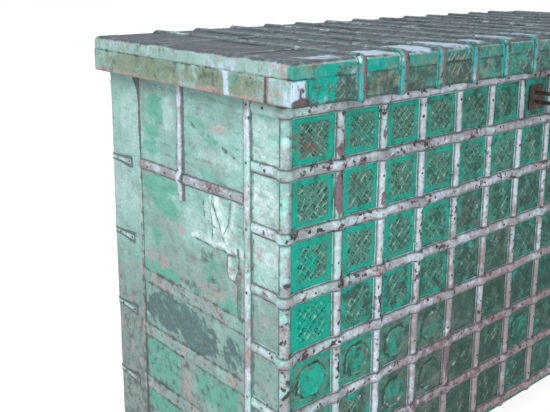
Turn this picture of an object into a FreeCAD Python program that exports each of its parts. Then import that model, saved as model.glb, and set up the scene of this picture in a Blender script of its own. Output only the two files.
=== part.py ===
import FreeCAD, Part
import os
import Sketcher

# An iron-clad timber storage chest: grooved corner posts and tongued planks, pressed sheet-iron
# skins, domed straps crossing over each other, and a thick overhanging lid hinged along the back.
# X runs along the front, the front faces -Y, Z is up. The origin is on the ground, under the middle
# of the chest's outer box.

V = FreeCAD.Vector

SIZES = [
    # front grid
    ("row_pitch", 120, "row straps, centre to centre"),
    ("top_row_pitch", 114, "top row strap to the next one down"),
    ("row_count", 8, "row straps on the front"),
    ("column_pitch", 121.5, "uprights, centre to centre"),
    ("upright_count", 12, "uprights on the front"),
    ("corner_bay", 134, "front corner to the first upright's centre"),
    ("top_margin", 18, "top row strap's centre to the top of the walls"),
    ("bottom_margin", 20, "lower edge of the walls to the lowest row strap's centre"),
    # carcass
    ("body_depth", 603, "front to back over the timber"),
    ("foot_height", 70, "ground to the lower edge of the walls"),
    ("post_width", 60, "corner post, square"),
    ("post_chamfer", 6, "bevel round the foot of a post"),
    ("plank_thickness", 24, "wall planks"),
    ("tongue_length", 15, "tongue on a plank's end"),
    ("tongue_thickness", 10, "tongue on a plank's end"),
    ("joint_clearance", 0.3, "between timber pieces"),
    ("bearer_size", 40, "floor bearer, square"),
    ("bearer_rise", 10, "lower edge of the walls to the bearers"),
    ("floor_thickness", 20, "floor boards"),
    # sheet-iron skins
    ("sheet_thickness", 1.2, "every skin"),
    ("press_inset", 8, "strap's edge to the foot of a pressed square"),
    ("press_height", 2.4, "rise of a pressed square"),
    ("press_slope", 5, "width of a pressed square's sloping edge"),
    ("corner_sheet_lap", 118, "back corner sheet on the end wall"),
    ("corner_sheet_return", 62, "back corner sheet on the back wall"),
    ("corner_sheet_clip", 24, "clipped upper corner of the back corner sheet"),
    # straps
    ("strap_width", 25, "every domed strap"),
    ("strap_height", 6, "crown of an upright"),
    ("row_strap_height", 5.5, "thickness of a row strap"),
    ("row_strap_crown", 13, "width of a row strap's top facet"),
    ("strap_gap", 0.3, "between straps that cross or meet"),
    ("strap_end_gap", 2, "strap's end to the edge of the wall"),
    ("bump_run", 4, "upright's edge to the foot of the row strap's bump"),
    ("bump_crown", 10, "flat top of the row strap's bump"),
    ("bead_lap", 14, "corner bead on each wall"),
    ("bead_bulge", 4.5, "corner bead beyond the corner, each way"),
    ("bead_run", 8, "corner bead's edge to the foot of the row strap's bend"),
    # end walls
    ("end_front_strap", 102, "front corner to the front upright of an end"),
    ("end_back_strap", 325, "front corner to the short upright of an end"),
    ("cross_strap_drop", 203, "top of the walls to the cross strap of an end"),
    ("short_strap_tail", 48, "short upright below the cross strap's centre"),
    ("strip_thickness", 1, "flat strips on the lower end wall"),
    ("strip_width", 30, "flat strips that lie along the end wall"),
    ("strip_upright_width", 50, "flat strip that stands between them"),
    ("strip_first_drop", 465, "top of the walls to the upper flat strip"),
    ("strip_last_rise", 138, "lower edge of the walls to the lowest flat strip"),
    ("strip_count", 3, "flat strips that lie along the end wall"),
    # back straps
    ("back_strap_rise", 123, "lower edge of the walls to the lowest back strap"),
    ("back_strap_drop", 206, "top of the walls to the highest back strap"),
    ("back_strap_count", 4, "straps on the back"),
    ("back_strap_height", 3, "thickness of a back strap"),
    ("tail_margin", 33, "tail's end to the front edge of the back corner sheet"),
    ("tail_neck", 11, "tail where it leaves the back corner"),
    ("tail_tip", 24, "flared end of the tail"),
    # lid
    ("lid_front_overhang", 60, "lid beyond the front wall"),
    ("lid_end_overhang", 38, "lid beyond an end wall"),
    ("lid_rail_height", 46, "rails under the lid boards"),
    ("lid_rail_bearing", 34, "rails inside the wall's outer face"),
    ("lid_back_rail", 60, "width of the back rail"),
    ("lid_board_thickness", 28, "lid boards"),
    ("lid_edge_radius", 9, "rounded upper edge of the lid boards"),
    ("batten_width", 60, "battens across the lid boards"),
    ("batten_height", 28, "battens across the lid boards"),
    ("batten_spacing", 560, "battens, centre to centre"),
    ("rim_gap", 2, "lower edge of the rim sheet above the rail's underside"),
    ("lid_strap_margin", 126, "end wall to the first lid strap"),
    ("lid_strap_count", 13, "straps over the lid"),
    ("lid_strap_tuck", 18, "lid strap turned under the rim"),
    ("lid_strap_back", 6, "lid strap's end to the back edge"),
    ("seam_first", 112, "front wall to the first seam strip on the lid"),
    ("seam_second", 360, "front wall to the second seam strip on the lid"),
    ("seam_width", 18, "seam strips on the lid"),
    ("seam_thickness", 1.5, "seam strips on the lid"),
    ("corner_plate_end", 66, "lid corner plate on the lid's end"),
    ("corner_plate_front", 36, "lid corner plate on the lid's front"),
    # lid hinges
    ("hinge_margin", 202, "end wall to the outer hinge's middle"),
    ("hinge_count", 3, "hinges along the back"),
    ("hinge_width", 66, "hinge along its pin"),
    ("hinge_leaf", 4, "thickness of a hinge leaf"),
    ("hinge_leaf_height", 56, "hinge leaf beyond its knuckle"),
    ("hinge_knuckle_radius", 7.5, "outside of the knuckle"),
    ("hinge_pin_radius", 3.5, "hinge pin"),
    ("hinge_gap", 0.3, "knuckle to the walls and knuckle to knuckle"),
    ("pin_clearance", 0.05, "pin in its knuckle, on the radius"),
    ("pin_head", 2.5, "pin's head beyond the knuckle"),
    # hasp and staple
    ("hasp_plate_width", 46, "plate on the lid's rim"),
    ("hasp_plate_drop", 16, "lid's rounded edge to the top of the plate"),
    ("hasp_plate_thickness", 3, "plate on the lid's rim"),
    ("hasp_knuckle_radius", 5, "outside of the hasp's knuckle"),
    ("hasp_pin_radius", 2.5, "hasp pin"),
    ("hasp_gap", 0.5, "hasp's knuckle to the rim and knuckle to knuckle"),
    ("hasp_drop", 1, "hasp pin below the lid's underside"),
    ("hasp_width", 34, "hasp"),
    ("hasp_thickness", 5, "hasp"),
    ("hasp_toe", 10, "hasp beyond its slot"),
    ("slot_side", 2.5, "slot beyond the staple's bar on each side"),
    ("slot_above", 5, "slot beyond the staple's upper leg"),
    ("slot_below", 13, "slot beyond the staple's lower leg"),
    ("staple_clear", 4, "staple's nose to the hanging hasp"),
    ("staple_bar_radius", 4, "half the thickness of the staple's square bar"),
    ("staple_bend_radius", 11, "middle line of the staple's bend"),
    ("staple_plate", 58, "plate under the staple, square"),
    ("staple_plate_thickness", 3, "plate under the staple"),
]

doc = FreeCAD.newDocument("storage_chest")
sheet = doc.addObject("Spreadsheet::Sheet", "Dims")
for row, (alias, value, note) in enumerate(SIZES, start=1):
    sheet.set(f"A{row}", note)
    sheet.set(f"B{row}", str(value))
    sheet.setAlias(f"B{row}", alias)
doc.recompute()


def size(name):
    return f"Dims.{name}"


def number(expression):
    return float(sheet.evalExpression(expression))


# Main lines of the chest, worked out from the driving sizes
LENGTH = "(2 * Dims.corner_bay + (Dims.upright_count - 1) * Dims.column_pitch)"
HALF = f"({LENGTH} / 2)"
FRONT_REACH = (
    "(Dims.lid_front_overhang + Dims.sheet_thickness + Dims.hasp_gap + 2 * Dims.hasp_knuckle_radius)"
)
BACK_REACH = "(Dims.sheet_thickness + Dims.hinge_gap + 2 * Dims.hinge_knuckle_radius)"
FRONT = f"(({FRONT_REACH} - {BACK_REACH} - Dims.body_depth) / 2)"
BACK = f"({FRONT} + Dims.body_depth)"
GRID = "((Dims.row_count - 2) * Dims.row_pitch + Dims.top_row_pitch)"
WALL = f"(Dims.bottom_margin + {GRID} + Dims.top_margin)"
TOP = f"(Dims.foot_height + {WALL})"
BOARD_LEVEL = f"({TOP} + Dims.lid_rail_height)"
LID_TOP = f"({BOARD_LEVEL} + Dims.lid_board_thickness)"
LID_HALF = f"({HALF} + Dims.lid_end_overhang)"
LID_FRONT = f"({FRONT} - Dims.lid_front_overhang)"
LID_DEPTH = "(Dims.body_depth + Dims.lid_front_overhang)"
SKIN = "Dims.sheet_thickness"
RIM_FRONT = f"({LID_FRONT} - {SKIN})"
EDGE_LEVEL = f"({LID_TOP} - Dims.lid_edge_radius)"
STRAP_RADIUS = "((Dims.strap_width ^ 2 / 4 + Dims.strap_height ^ 2) / (2 * Dims.strap_height))"

# The staple and hasp stand in the middle bay, or in the bay beside a middle upright
HASP_X = "(mod(Dims.upright_count; 2) * Dims.column_pitch / 2)"
HASP_Y = f"({RIM_FRONT} - Dims.hasp_gap - Dims.hasp_knuckle_radius)"
HASP_Z = f"({TOP} - Dims.hasp_drop)"
STAPLE_DROP = "(Dims.top_margin + Dims.top_row_pitch / 2)"
STAPLE_Z = f"({TOP} - {STAPLE_DROP})"
HASP_CLEAR = "(Dims.hasp_knuckle_radius + 3 * Dims.hasp_gap)"
PLATE_FOOT = f"({HASP_Z} + {HASP_CLEAR})"
PLATE_TOP = f"({EDGE_LEVEL} - Dims.hasp_plate_drop)"

# Two points nearer than this are one
TOUCH = 1e-6

nodes = []


def keep(obj, label):
    obj.Label = label
    nodes.append(obj)
    return obj


def bind(obj, **expressions):
    for name, expression in expressions.items():
        obj.setExpression(name, expression)
    return obj


def place(obj, x, y, z, turn=0):
    if turn:
        obj.Placement = FreeCAD.Placement(V(), FreeCAD.Rotation(V(0, 0, 1), turn))
    obj.setExpression("Placement.Base.x", x)
    obj.setExpression("Placement.Base.y", y)
    obj.setExpression("Placement.Base.z", z)
    return obj


def block(name, length, width, height, x, y, z):
    made = doc.addObject("Part::Box", name)
    bind(made, Length=length, Width=width, Height=height)
    return place(made, x, y, z)


def join(name, pieces):
    made = doc.addObject("Part::MultiFuse", name)
    made.Shapes = pieces
    made.Refine = True
    return made


def cut(name, base, tool):
    made = doc.addObject("Part::Cut", name)
    made.Base = base
    made.Tool = tool
    return made


# A closed sketch on the body's level plane. Each corner is a pair of expressions, and bends gives,
# for the side that starts at a corner, an arc's radius and its turn, +1 to the left or -1.
def outline(body, name, corners, bends=None):
    bends = bends or {}
    sketch = body.newObject("Sketcher::SketchObject", name)
    level = [f for f in body.Origin.OriginFeatures if f.Role == "XY_Plane"][0]
    sketch.AttachmentSupport = (level, "")
    sketch.MapMode = "FlatFace"
    points = [V(number(x), number(y), 0) for x, y in corners]
    sides = []
    ends = []
    for i, start in enumerate(points):
        end = points[(i + 1) % len(points)]
        if i not in bends:
            sides.append(Part.LineSegment(start, end))
            ends.append((1, 2))
            continue
        radius, turn = number(bends[i][0]), bends[i][1]
        chord = end - start
        across = V(chord.y, -chord.x, 0).normalize() * turn
        rise = radius - (radius**2 - chord.Length**2 / 4) ** 0.5
        middle = (start + end) / 2 + across * rise
        arc = Part.Arc(start, middle, end) if turn > 0 else Part.Arc(end, middle, start)
        sides.append(arc)
        ends.append((1, 2) if turn > 0 else (2, 1))
    sketch.addGeometry(sides, False)
    count = len(sides)
    joints = [
        Sketcher.Constraint("Coincident", i, ends[i][1], (i + 1) % count, ends[(i + 1) % count][0])
        for i in range(count)
    ]
    sketch.addConstraint(joints)
    for i, (x, y) in enumerate(corners):
        for kind, expression in (("DistanceX", x), ("DistanceY", y)):
            rule = Sketcher.Constraint(kind, -1, 1, i, ends[i][0], number(expression))
            index = sketch.addConstraint(rule)
            sketch.setExpression(f"Constraints[{index}]", expression)
    for i, (radius, _) in bends.items():
        index = sketch.addConstraint(Sketcher.Constraint("Radius", i, number(radius)))
        sketch.setExpression(f"Constraints[{index}]", radius)
    return sketch


def prism(name, corners, height, bends=None):
    body = doc.addObject("PartDesign::Body", name)
    sketch = outline(body, f"{name}_outline", corners, bends)
    pad = body.newObject("PartDesign::Pad", f"{name}_pad")
    pad.Profile = sketch
    pad.setExpression("Length", height)
    return body


# One node of separate solids: the source's shape repeated at each move
def copies(label, source, moves):
    doc.recompute()
    shapes = []
    for move in moves:
        shape = source.Shape.copy()
        shape.translate(move)
        shapes.append(shape)
    made = doc.addObject("Part::Feature", label)
    made.Shape = Part.makeCompound(shapes)
    return keep(made, label)


# A strap along a path of straight runs, mitred at each turn. The section is a list of (across,
# outward) points, and stands at the path's first point.
def swept(path, width_way, out_way, section):
    start = path[0]
    loop = [start + width_way * a + out_way * b for a, b in section]
    profile = Part.makePolygon(loop + loop[:1])
    return Part.makePolygon(path).makePipeShell([profile], True, False, 1)


def mirrored(shape):
    return shape.mirror(V(), V(1, 0, 0))


def spread(first, last, count):
    return [first + (last - first) * i / (count - 1) for i in range(count)]


def solid_node(label, shape):
    made = doc.addObject("Part::Feature", label)
    made.Shape = shape
    return keep(made, label)


# Corner posts, grooved on both inner faces for the planks' tongues
def corner_post(label, x, y, turn):
    wide = size("post_width")
    low = "((Dims.plank_thickness - Dims.tongue_thickness) / 2 - Dims.joint_clearance)"
    high = "((Dims.plank_thickness + Dims.tongue_thickness) / 2 + Dims.joint_clearance)"
    deep = "(Dims.post_width - Dims.tongue_length - Dims.joint_clearance)"
    zero = "0 * Dims.post_width"
    corners = [
        (zero, zero), (wide, zero), (wide, low), (deep, low), (deep, high), (wide, high),
        (wide, wide), (high, wide), (high, deep), (low, deep), (low, wide), (zero, wide),
    ]
    body = prism(label, corners, TOP)
    doc.recompute()
    pad = body.Tip
    bevel = body.newObject("PartDesign::Chamfer", f"{label}_foot")
    foot = [
        f"Edge{i}" for i, edge in enumerate(pad.Shape.Edges, start=1)
        if edge.BoundBox.ZMax < TOUCH and is_outer_edge(edge)
    ]
    bevel.Base = (pad, foot)
    bevel.setExpression("Size", "Dims.post_chamfer")
    keep(place(body, x, y, "0 * Dims.post_width", turn), label)


def is_outer_edge(edge):
    box = edge.BoundBox
    return (box.XMax < TOUCH) or (box.YMax < TOUCH)


corner_post("post_front_left", f"-{HALF}", FRONT, 0)
corner_post("post_front_right", HALF, FRONT, 90)
corner_post("post_back_right", HALF, BACK, 180)
corner_post("post_back_left", f"-{HALF}", BACK, 270)

# Wall planks, in courses, with a tongue on each end
COURSES = ("lower", "middle", "upper")


def wall(side, run, x, y, turn):
    body_end = f"({run} / 2 - Dims.post_width - Dims.joint_clearance)"
    tongue_end = f"({body_end} + Dims.tongue_length)"
    thick = size("plank_thickness")
    near = "((Dims.plank_thickness - Dims.tongue_thickness) / 2)"
    far = "((Dims.plank_thickness + Dims.tongue_thickness) / 2)"
    zero = "0 * Dims.plank_thickness"
    corners = [
        (f"-{body_end}", zero), (body_end, zero), (body_end, near), (tongue_end, near),
        (tongue_end, far), (body_end, far), (body_end, thick), (f"-{body_end}", thick),
        (f"-{body_end}", far), (f"-{tongue_end}", far), (f"-{tongue_end}", near), (f"-{body_end}", near),
    ]
    step = f"({WALL} / {len(COURSES)})"
    for i, course in enumerate(COURSES):
        label = f"{side}_plank_{course}"
        body = prism(label, corners, f"{step} - Dims.joint_clearance")
        keep(place(body, x, y, f"Dims.foot_height + {i} * {step}", turn), label)


MIDDLE = f"(({FRONT} + {BACK}) / 2)"
wall("front", LENGTH, "0 * Dims.post_width", FRONT, 0)
wall("right_end", size("body_depth"), HALF, MIDDLE, 90)
wall("back", LENGTH, "0 * Dims.post_width", BACK, 180)
wall("left_end", size("body_depth"), f"-{HALF}", MIDDLE, 270)

# Floor: two bearers along the long walls and boards across them, the outer two let in between posts
BEARER_LEVEL = "(Dims.foot_height + Dims.bearer_rise)"
INNER_HALF = f"({HALF} - Dims.post_width - Dims.joint_clearance)"
for label, y in (
    ("floor_bearer_front", f"{FRONT} + Dims.plank_thickness"),
    ("floor_bearer_back", f"{BACK} - Dims.plank_thickness - Dims.bearer_size"),
):
    square = size("bearer_size")
    bearer = block(label, f"2 * {INNER_HALF}", square, square, f"-{INNER_HALF}", y, BEARER_LEVEL)
    keep(bearer, label)

FLOOR_LEVEL = f"({BEARER_LEVEL} + Dims.bearer_size)"
FLOOR_FRONT = f"({FRONT} + Dims.plank_thickness + Dims.joint_clearance)"
FLOOR_RUN = "(Dims.body_depth - 2 * Dims.plank_thickness - 2 * Dims.joint_clearance)"
LET_IN = "(Dims.post_width - Dims.plank_thickness)"
LET_FRONT = f"({FRONT} + Dims.post_width + Dims.joint_clearance)"
LET_RUN = "(Dims.body_depth - 2 * Dims.post_width - 2 * Dims.joint_clearance)"
for side, start, let_start in (
    ("left", f"-{INNER_HALF}", f"-{INNER_HALF} - {LET_IN}"),
    ("right", "Dims.joint_clearance / 2", INNER_HALF),
):
    label = f"floor_board_{side}"
    wide = f"({INNER_HALF} - Dims.joint_clearance / 2)"
    thick = size("floor_thickness")
    main = block(f"{label}_main", wide, FLOOR_RUN, thick, start, FLOOR_FRONT, FLOOR_LEVEL)
    let_in = block(f"{label}_let", LET_IN, LET_RUN, thick, let_start, LET_FRONT, FLOOR_LEVEL)
    keep(join(label, [main, let_in]), label)


# Front skin with a pressed square in every cell of the grid but the staple's
def pressed_square(centre_x, centre_z, wide, tall, face):
    slope = number("Dims.press_slope")
    rise = number("Dims.press_height")
    rings = []
    for inset, y in ((0, face), (slope, face - rise)):
        x, z = wide / 2 - inset, tall / 2 - inset
        ring = [V(-x, 0, -z), V(x, 0, -z), V(x, 0, z), V(-x, 0, z)]
        ring = [point + V(centre_x, y, centre_z) for point in ring]
        rings.append(Part.makePolygon(ring + ring[:1]))
    return Part.makeLoft(rings, True, True)


def upright_places():
    half, bay, pitch = number(HALF), number("Dims.corner_bay"), number("Dims.column_pitch")
    return [bay - half + i * pitch for i in range(int(number("Dims.upright_count")))]


def row_places():
    top = number(TOP) - number("Dims.top_margin")
    next_down = top - number("Dims.top_row_pitch")
    rows = int(number("Dims.row_count"))
    return [top] + [next_down - i * number("Dims.row_pitch") for i in range(rows - 1)]


def front_skin():
    half, skin = number(HALF), number(SKIN)
    face = number(FRONT) - skin
    foot, tall = number("Dims.foot_height"), number(WALL)
    plate = Part.makeBox(2 * half, skin, tall, V(-half, face, foot))
    strap, inset = number("Dims.strap_width") / 2, number("Dims.press_inset")
    bead = number("Dims.bead_lap")
    edges = [(x - strap, x + strap) for x in upright_places()]
    edges = [(None, bead - half)] + edges + [(half - bead, None)]
    rows = row_places()
    staple_x, staple_z = number(HASP_X), number(STAPLE_Z)
    squares = []
    for (_, left), (right, _) in zip(edges, edges[1:]):
        for upper, lower in zip(rows, rows[1:]):
            middle_x, middle_z = (left + right) / 2, (upper + lower) / 2
            wide = right - left - 2 * inset
            high = upper - lower - 2 * strap - 2 * inset
            if left < staple_x < right and lower < staple_z < upper:
                continue
            squares.append(pressed_square(middle_x, middle_z, wide, high, face))
    return plate.multiFuse(squares)


solid_node("front_sheet", front_skin())

# Plain skins of the back and the ends
back_sheet = block(
    "back_sheet", LENGTH, SKIN, WALL, f"-{HALF}", BACK, size("foot_height")
)
keep(back_sheet, "back_sheet")
for side, x in (("left", f"-{HALF} - {SKIN}"), ("right", HALF)):
    label = f"{side}_end_sheet"
    keep(block(label, SKIN, size("body_depth"), WALL, x, FRONT, size("foot_height")), label)


# Back corner sheets: a second skin round each back corner, its upper front corner clipped off
def corner_sheet(label, side):
    half, skin = number(HALF), number(SKIN)
    back, foot, top = number(BACK), number("Dims.foot_height"), number(TOP)
    lap, fold = number("Dims.corner_sheet_lap"), number("Dims.corner_sheet_return")
    clip = number("Dims.corner_sheet_clip")
    inner, outer = -half - skin, -half - 2 * skin
    edge = back + 2 * skin
    leaf = [
        V(outer, back - lap, foot), V(outer, edge, foot), V(outer, edge, top),
        V(outer, back - lap + clip, top), V(outer, back - lap, top - 2 * clip),
    ]
    end_leaf = Part.Face(Part.makePolygon(leaf + leaf[:1])).extrude(V(inner - outer, 0, 0))
    back_leaf = Part.makeBox(fold + 2 * skin, skin, top - foot, V(outer, back + skin, foot))
    shape = end_leaf.fuse(back_leaf).removeSplitter()
    solid_node(label, shape if side == "left" else mirrored(shape))


corner_sheet("left_corner_sheet", "left")
corner_sheet("right_corner_sheet", "right")

# Domed uprights of the front and of the ends
HALF_STRAP = "(Dims.strap_width / 2)"
DOME = [(f"-{HALF_STRAP}", "0 * Dims.strap_width"), (HALF_STRAP, "0 * Dims.strap_width")]
UPRIGHT_RUN = f"({WALL} - 2 * Dims.strap_end_gap)"
UPRIGHT_FOOT = "(Dims.foot_height + Dims.strap_end_gap)"


def domed_upright(name, x, y, turn):
    body = prism(name, DOME, UPRIGHT_RUN, {1: (STRAP_RADIUS, -1)})
    return place(body, x, y, UPRIGHT_FOOT, turn)


upright = domed_upright("upright", "0 * Dims.strap_width", f"{FRONT} - {SKIN}", 0)
copies("front_upright_straps", upright, [V(x, 0, 0) for x in upright_places()])
END_STRAP_Y = f"{FRONT} + Dims.end_front_strap"
for side, x, turn in (("left", f"-{HALF} - {SKIN}", 270), ("right", f"{HALF} + {SKIN}", 90)):
    label = f"{side}_end_strap_front"
    keep(domed_upright(label, x, END_STRAP_Y, turn), label)

# Rounded beads over the two front corners
BEAD_CENTRE = "((Dims.bead_lap ^ 2 - 2 * Dims.bead_bulge ^ 2) / (2 * Dims.bead_lap + 4 * Dims.bead_bulge))"
BEAD_RADIUS = f"(({BEAD_CENTRE} + Dims.bead_bulge) * sqrt(2))"
LAP = size("bead_lap")
NONE = "0 * Dims.bead_lap"
BULGE = "-Dims.bead_bulge"
BEAD = [(LAP, NONE), (NONE, NONE), (NONE, LAP), (BULGE, BULGE)]
for side, x, turn in (("left", f"-{HALF} - {SKIN}", 0), ("right", f"{HALF} + {SKIN}", 90)):
    label = f"{side}_corner_bead"
    bends = {2: (BEAD_RADIUS, 1), 3: (BEAD_RADIUS, 1)}
    bead = prism(label, BEAD, UPRIGHT_RUN, bends)
    keep(place(bead, x, f"{FRONT} - {SKIN}", UPRIGHT_FOOT, turn), label)


# Row straps: each runs round from one end wall to the other, rising over every upright and bending
# over both corner beads, with its tails stopping at the front uprights of the ends
def strap_section(high):
    wide, crown = number("Dims.strap_width") / 2, number("Dims.row_strap_crown") / 2
    return [(-wide, 0), (wide, 0), (crown, high), (-crown, high)]


def bump(centre, rise, crown):
    foot = number("Dims.strap_width") / 2 + number("Dims.bump_run")
    crown = crown / 2
    return [(centre - foot, 0), (centre - crown, rise), (centre + crown, rise), (centre + foot, 0)]


def row_strap():
    half, skin = number(HALF), number(SKIN)
    corner_x, face = -half - skin, number(FRONT) - skin
    centre, gap = number(BEAD_CENTRE), number("Dims.strap_gap")
    clear = number(BEAD_RADIUS) + gap
    flat = clear * (2**0.5 - 1)
    start = number("Dims.bead_lap") + number("Dims.bead_run")
    tail = number("Dims.end_front_strap") + skin - number("Dims.strap_width") / 2 - gap
    bend = [
        (0, tail), (0, start), (centre - clear, centre + flat), (centre - clear, centre - flat),
        (centre - flat, centre - clear), (centre + flat, centre - clear), (start, 0),
    ]
    left = [V(corner_x + along, face + in_from_front, 0) for along, in_from_front in bend]
    right = [V(-point.x, point.y, 0) for point in reversed(left)]
    rise = number("Dims.strap_height") + gap
    crown = number("Dims.bump_crown")
    steps = [step for place_x in upright_places() for step in bump(place_x, rise, crown)]
    bumps = [V(x, face - out, 0) for x, out in steps]
    section = strap_section(number("Dims.row_strap_height"))
    return swept(left + bumps + right, V(0, 0, 1), V(-1, 0, 0), section)


row_master = doc.addObject("Part::Feature", "row_strap")
row_master.Shape = row_strap()
copies("front_row_straps", row_master, [V(0, 0, z) for z in row_places()])


# End walls: a cross strap, and a short upright that rises over it
def end_straps(side):
    half, skin = number(HALF), number(SKIN)
    face, front, top = -half - skin, number(FRONT), number(TOP)
    strap, gap = number("Dims.strap_width") / 2, number("Dims.strap_gap")
    level = top - number("Dims.cross_strap_drop")
    high = number("Dims.row_strap_height")
    near = front + number("Dims.end_front_strap") + strap + gap
    far = number(BACK) - number("Dims.corner_sheet_lap") - gap
    run = [V(face, far, level), V(face, near, level)]
    cross = swept(run, V(0, 0, 1), V(-1, 0, 0), strap_section(high))
    y = front + number("Dims.end_back_strap")
    path = [(top - number("Dims.strap_end_gap"), 0)]
    crown = number("Dims.row_strap_crown + 2 * Dims.strap_gap")
    path += [(level - z, out) for z, out in bump(0, high + gap, crown)]
    path += [(level - number("Dims.short_strap_tail"), 0)]
    path = [V(face - out, y, z) for z, out in path]
    short = swept(path, V(0, 1, 0), V(-1, 0, 0), strap_section(high))
    for label, shape in ((f"{side}_end_cross_strap", cross), (f"{side}_end_strap_short", short)):
        solid_node(label, shape if side == "left" else mirrored(shape))


# Flat strips on the lower half of each end wall, with an upright strip standing between them
def end_strips(side):
    face = -number(HALF) - number(SKIN)
    front, top = number(FRONT), number(TOP)
    strap, gap = number("Dims.strap_width") / 2, number("Dims.strap_gap")
    near = front + number("Dims.end_front_strap") + strap + gap
    far = number(BACK) - number("Dims.corner_sheet_lap") - gap
    thin, wide = number("Dims.strip_thickness"), number("Dims.strip_width")
    highest = top - number("Dims.strip_first_drop")
    lowest = number("Dims.foot_height + Dims.strip_last_rise")
    levels = spread(highest, lowest, int(number("Dims.strip_count")))
    strips = [Part.makeBox(thin, far - near, wide, V(face - thin, near, z - wide / 2)) for z in levels]
    broad = number("Dims.strip_upright_width")
    y = front + number("Dims.end_back_strap") - broad / 2
    uprights = zip(levels[1:], levels[2:] + [number(UPRIGHT_FOOT) - wide / 2])
    for upper, lower in uprights:
        tall = upper - lower - wide - 2 * gap
        strips.append(Part.makeBox(thin, broad, tall, V(face - thin, y, lower + wide / 2 + gap)))
    shape = Part.makeCompound(strips)
    solid_node(f"{side}_end_strips", shape if side == "left" else mirrored(shape))


# Back straps: each folds round both back corners and ends in a flared tail on the end walls
def back_strap():
    half, skin, back = number(HALF), number(SKIN), number(BACK)
    high, wide = number("Dims.back_strap_height"), number("Dims.strap_width")
    outer, face = half + 2 * skin, back + 2 * skin
    bar = Part.makeBox(2 * outer, high, wide, V(-outer, face, -wide / 2))
    neck, tip = number("Dims.tail_neck") / 2, number("Dims.tail_tip") / 2
    end = back - number("Dims.corner_sheet_lap - Dims.tail_margin")
    root = face + high
    flare = [V(-outer, root, -neck), V(-outer, root, neck), V(-outer, end, tip), V(-outer, end, -tip)]
    tail = Part.Face(Part.makePolygon(flare + flare[:1])).extrude(V(-high, 0, 0))
    return bar.multiFuse([tail, mirrored(tail)]).removeSplitter()


for side in ("left", "right"):
    end_straps(side)
    end_strips(side)
back_master = doc.addObject("Part::Feature", "back_strap")
back_master.Shape = back_strap()
lowest_back = number("Dims.foot_height + Dims.back_strap_rise")
highest_back = number(f"{TOP} - Dims.back_strap_drop")
back_levels = spread(lowest_back, highest_back, int(number("Dims.back_strap_count")))
copies("back_straps", back_master, [V(0, 0, z) for z in back_levels])

# A rod along the length of the chest
SIDEWAYS = FreeCAD.Rotation(V(0, 1, 0), 90)


def cross_rod(name, radius, length, x, y, z):
    made = doc.addObject("Part::Cylinder", name)
    bind(made, Radius=radius, Height=length)
    made.Placement = FreeCAD.Placement(V(), SIDEWAYS)
    return place(made, x, y, z)


# Staple on the front wall: a plate and a bent square bar that the hasp drops over
STAPLE_FACE = f"({FRONT} - {SKIN})"
STAPLE_NOSE = f"({HASP_Y} + Dims.hasp_thickness / 2 + Dims.staple_clear)"
PLATE = size("staple_plate")
HALF_PLATE = "Dims.staple_plate / 2"
staple_plate = block(
    "staple_plate", PLATE, size("staple_plate_thickness"), PLATE,
    f"{HASP_X} - {HALF_PLATE}", f"{STAPLE_FACE} - Dims.staple_plate_thickness", f"{STAPLE_Z} - {HALF_PLATE}",
)
STAPLE_HALF = "(Dims.staple_bend_radius + Dims.staple_bar_radius)"
EYE_HALF = "(Dims.staple_bend_radius - Dims.staple_bar_radius)"
BEND_Y = f"({STAPLE_NOSE} + {STAPLE_HALF})"
BAR = "2 * Dims.staple_bar_radius"
BAR_X = f"{HASP_X} - Dims.staple_bar_radius"
LEG = f"{STAPLE_FACE} - {BEND_Y}"


def bent_shape(name, half):
    bend = cross_rod(f"{name}_bend", half, BAR, BAR_X, BEND_Y, STAPLE_Z)
    legs = block(f"{name}_legs", BAR, LEG, f"2 * {half}", BAR_X, BEND_Y, f"{STAPLE_Z} - {half}")
    return join(name, [bend, legs])


staple_bar = cut("staple_bar", bent_shape("staple_solid", STAPLE_HALF), bent_shape("staple_eye", EYE_HALF))
keep(join("staple", [staple_plate, staple_bar]), "staple")

# Lid timber: rails that rest on the walls, boards over them with a rounded upper edge, two battens
RAIL = size("lid_rail_height")
ZERO = "0 * Dims.lid_rail_height"
FRONT_RAIL = "(Dims.lid_front_overhang + Dims.lid_rail_bearing)"
END_RAIL = "(Dims.lid_end_overhang + Dims.lid_rail_bearing)"
BACK_RAIL = size("lid_back_rail")
CLEAR = size("joint_clearance")
RAIL_START = f"({FRONT} + Dims.lid_rail_bearing + {CLEAR})"
RAIL_RUN = f"({BACK} - {BACK_RAIL} - {CLEAR} - {RAIL_START})"
rails = {
    "lid_rail_front": (f"2 * {LID_HALF}", FRONT_RAIL, f"-{LID_HALF}", LID_FRONT),
    "lid_rail_back": (f"2 * {LID_HALF}", BACK_RAIL, f"-{LID_HALF}", f"{BACK} - {BACK_RAIL}"),
    "lid_rail_left": (END_RAIL, RAIL_RUN, f"-{LID_HALF}", RAIL_START),
    "lid_rail_right": (END_RAIL, RAIL_RUN, f"{LID_HALF} - {END_RAIL}", RAIL_START),
}
for label, (length, width, x, y) in rails.items():
    keep(block(label, length, width, RAIL, x, y, TOP), label)

batten = block(
    "batten", size("batten_width"), RAIL_RUN, size("batten_height"),
    "-Dims.batten_width / 2", RAIL_START, f"{BOARD_LEVEL} - Dims.batten_height",
)
batten_x = number("Dims.batten_spacing") / 2
copies("lid_battens", batten, [V(-batten_x, 0, 0), V(batten_x, 0, 0)])


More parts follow.
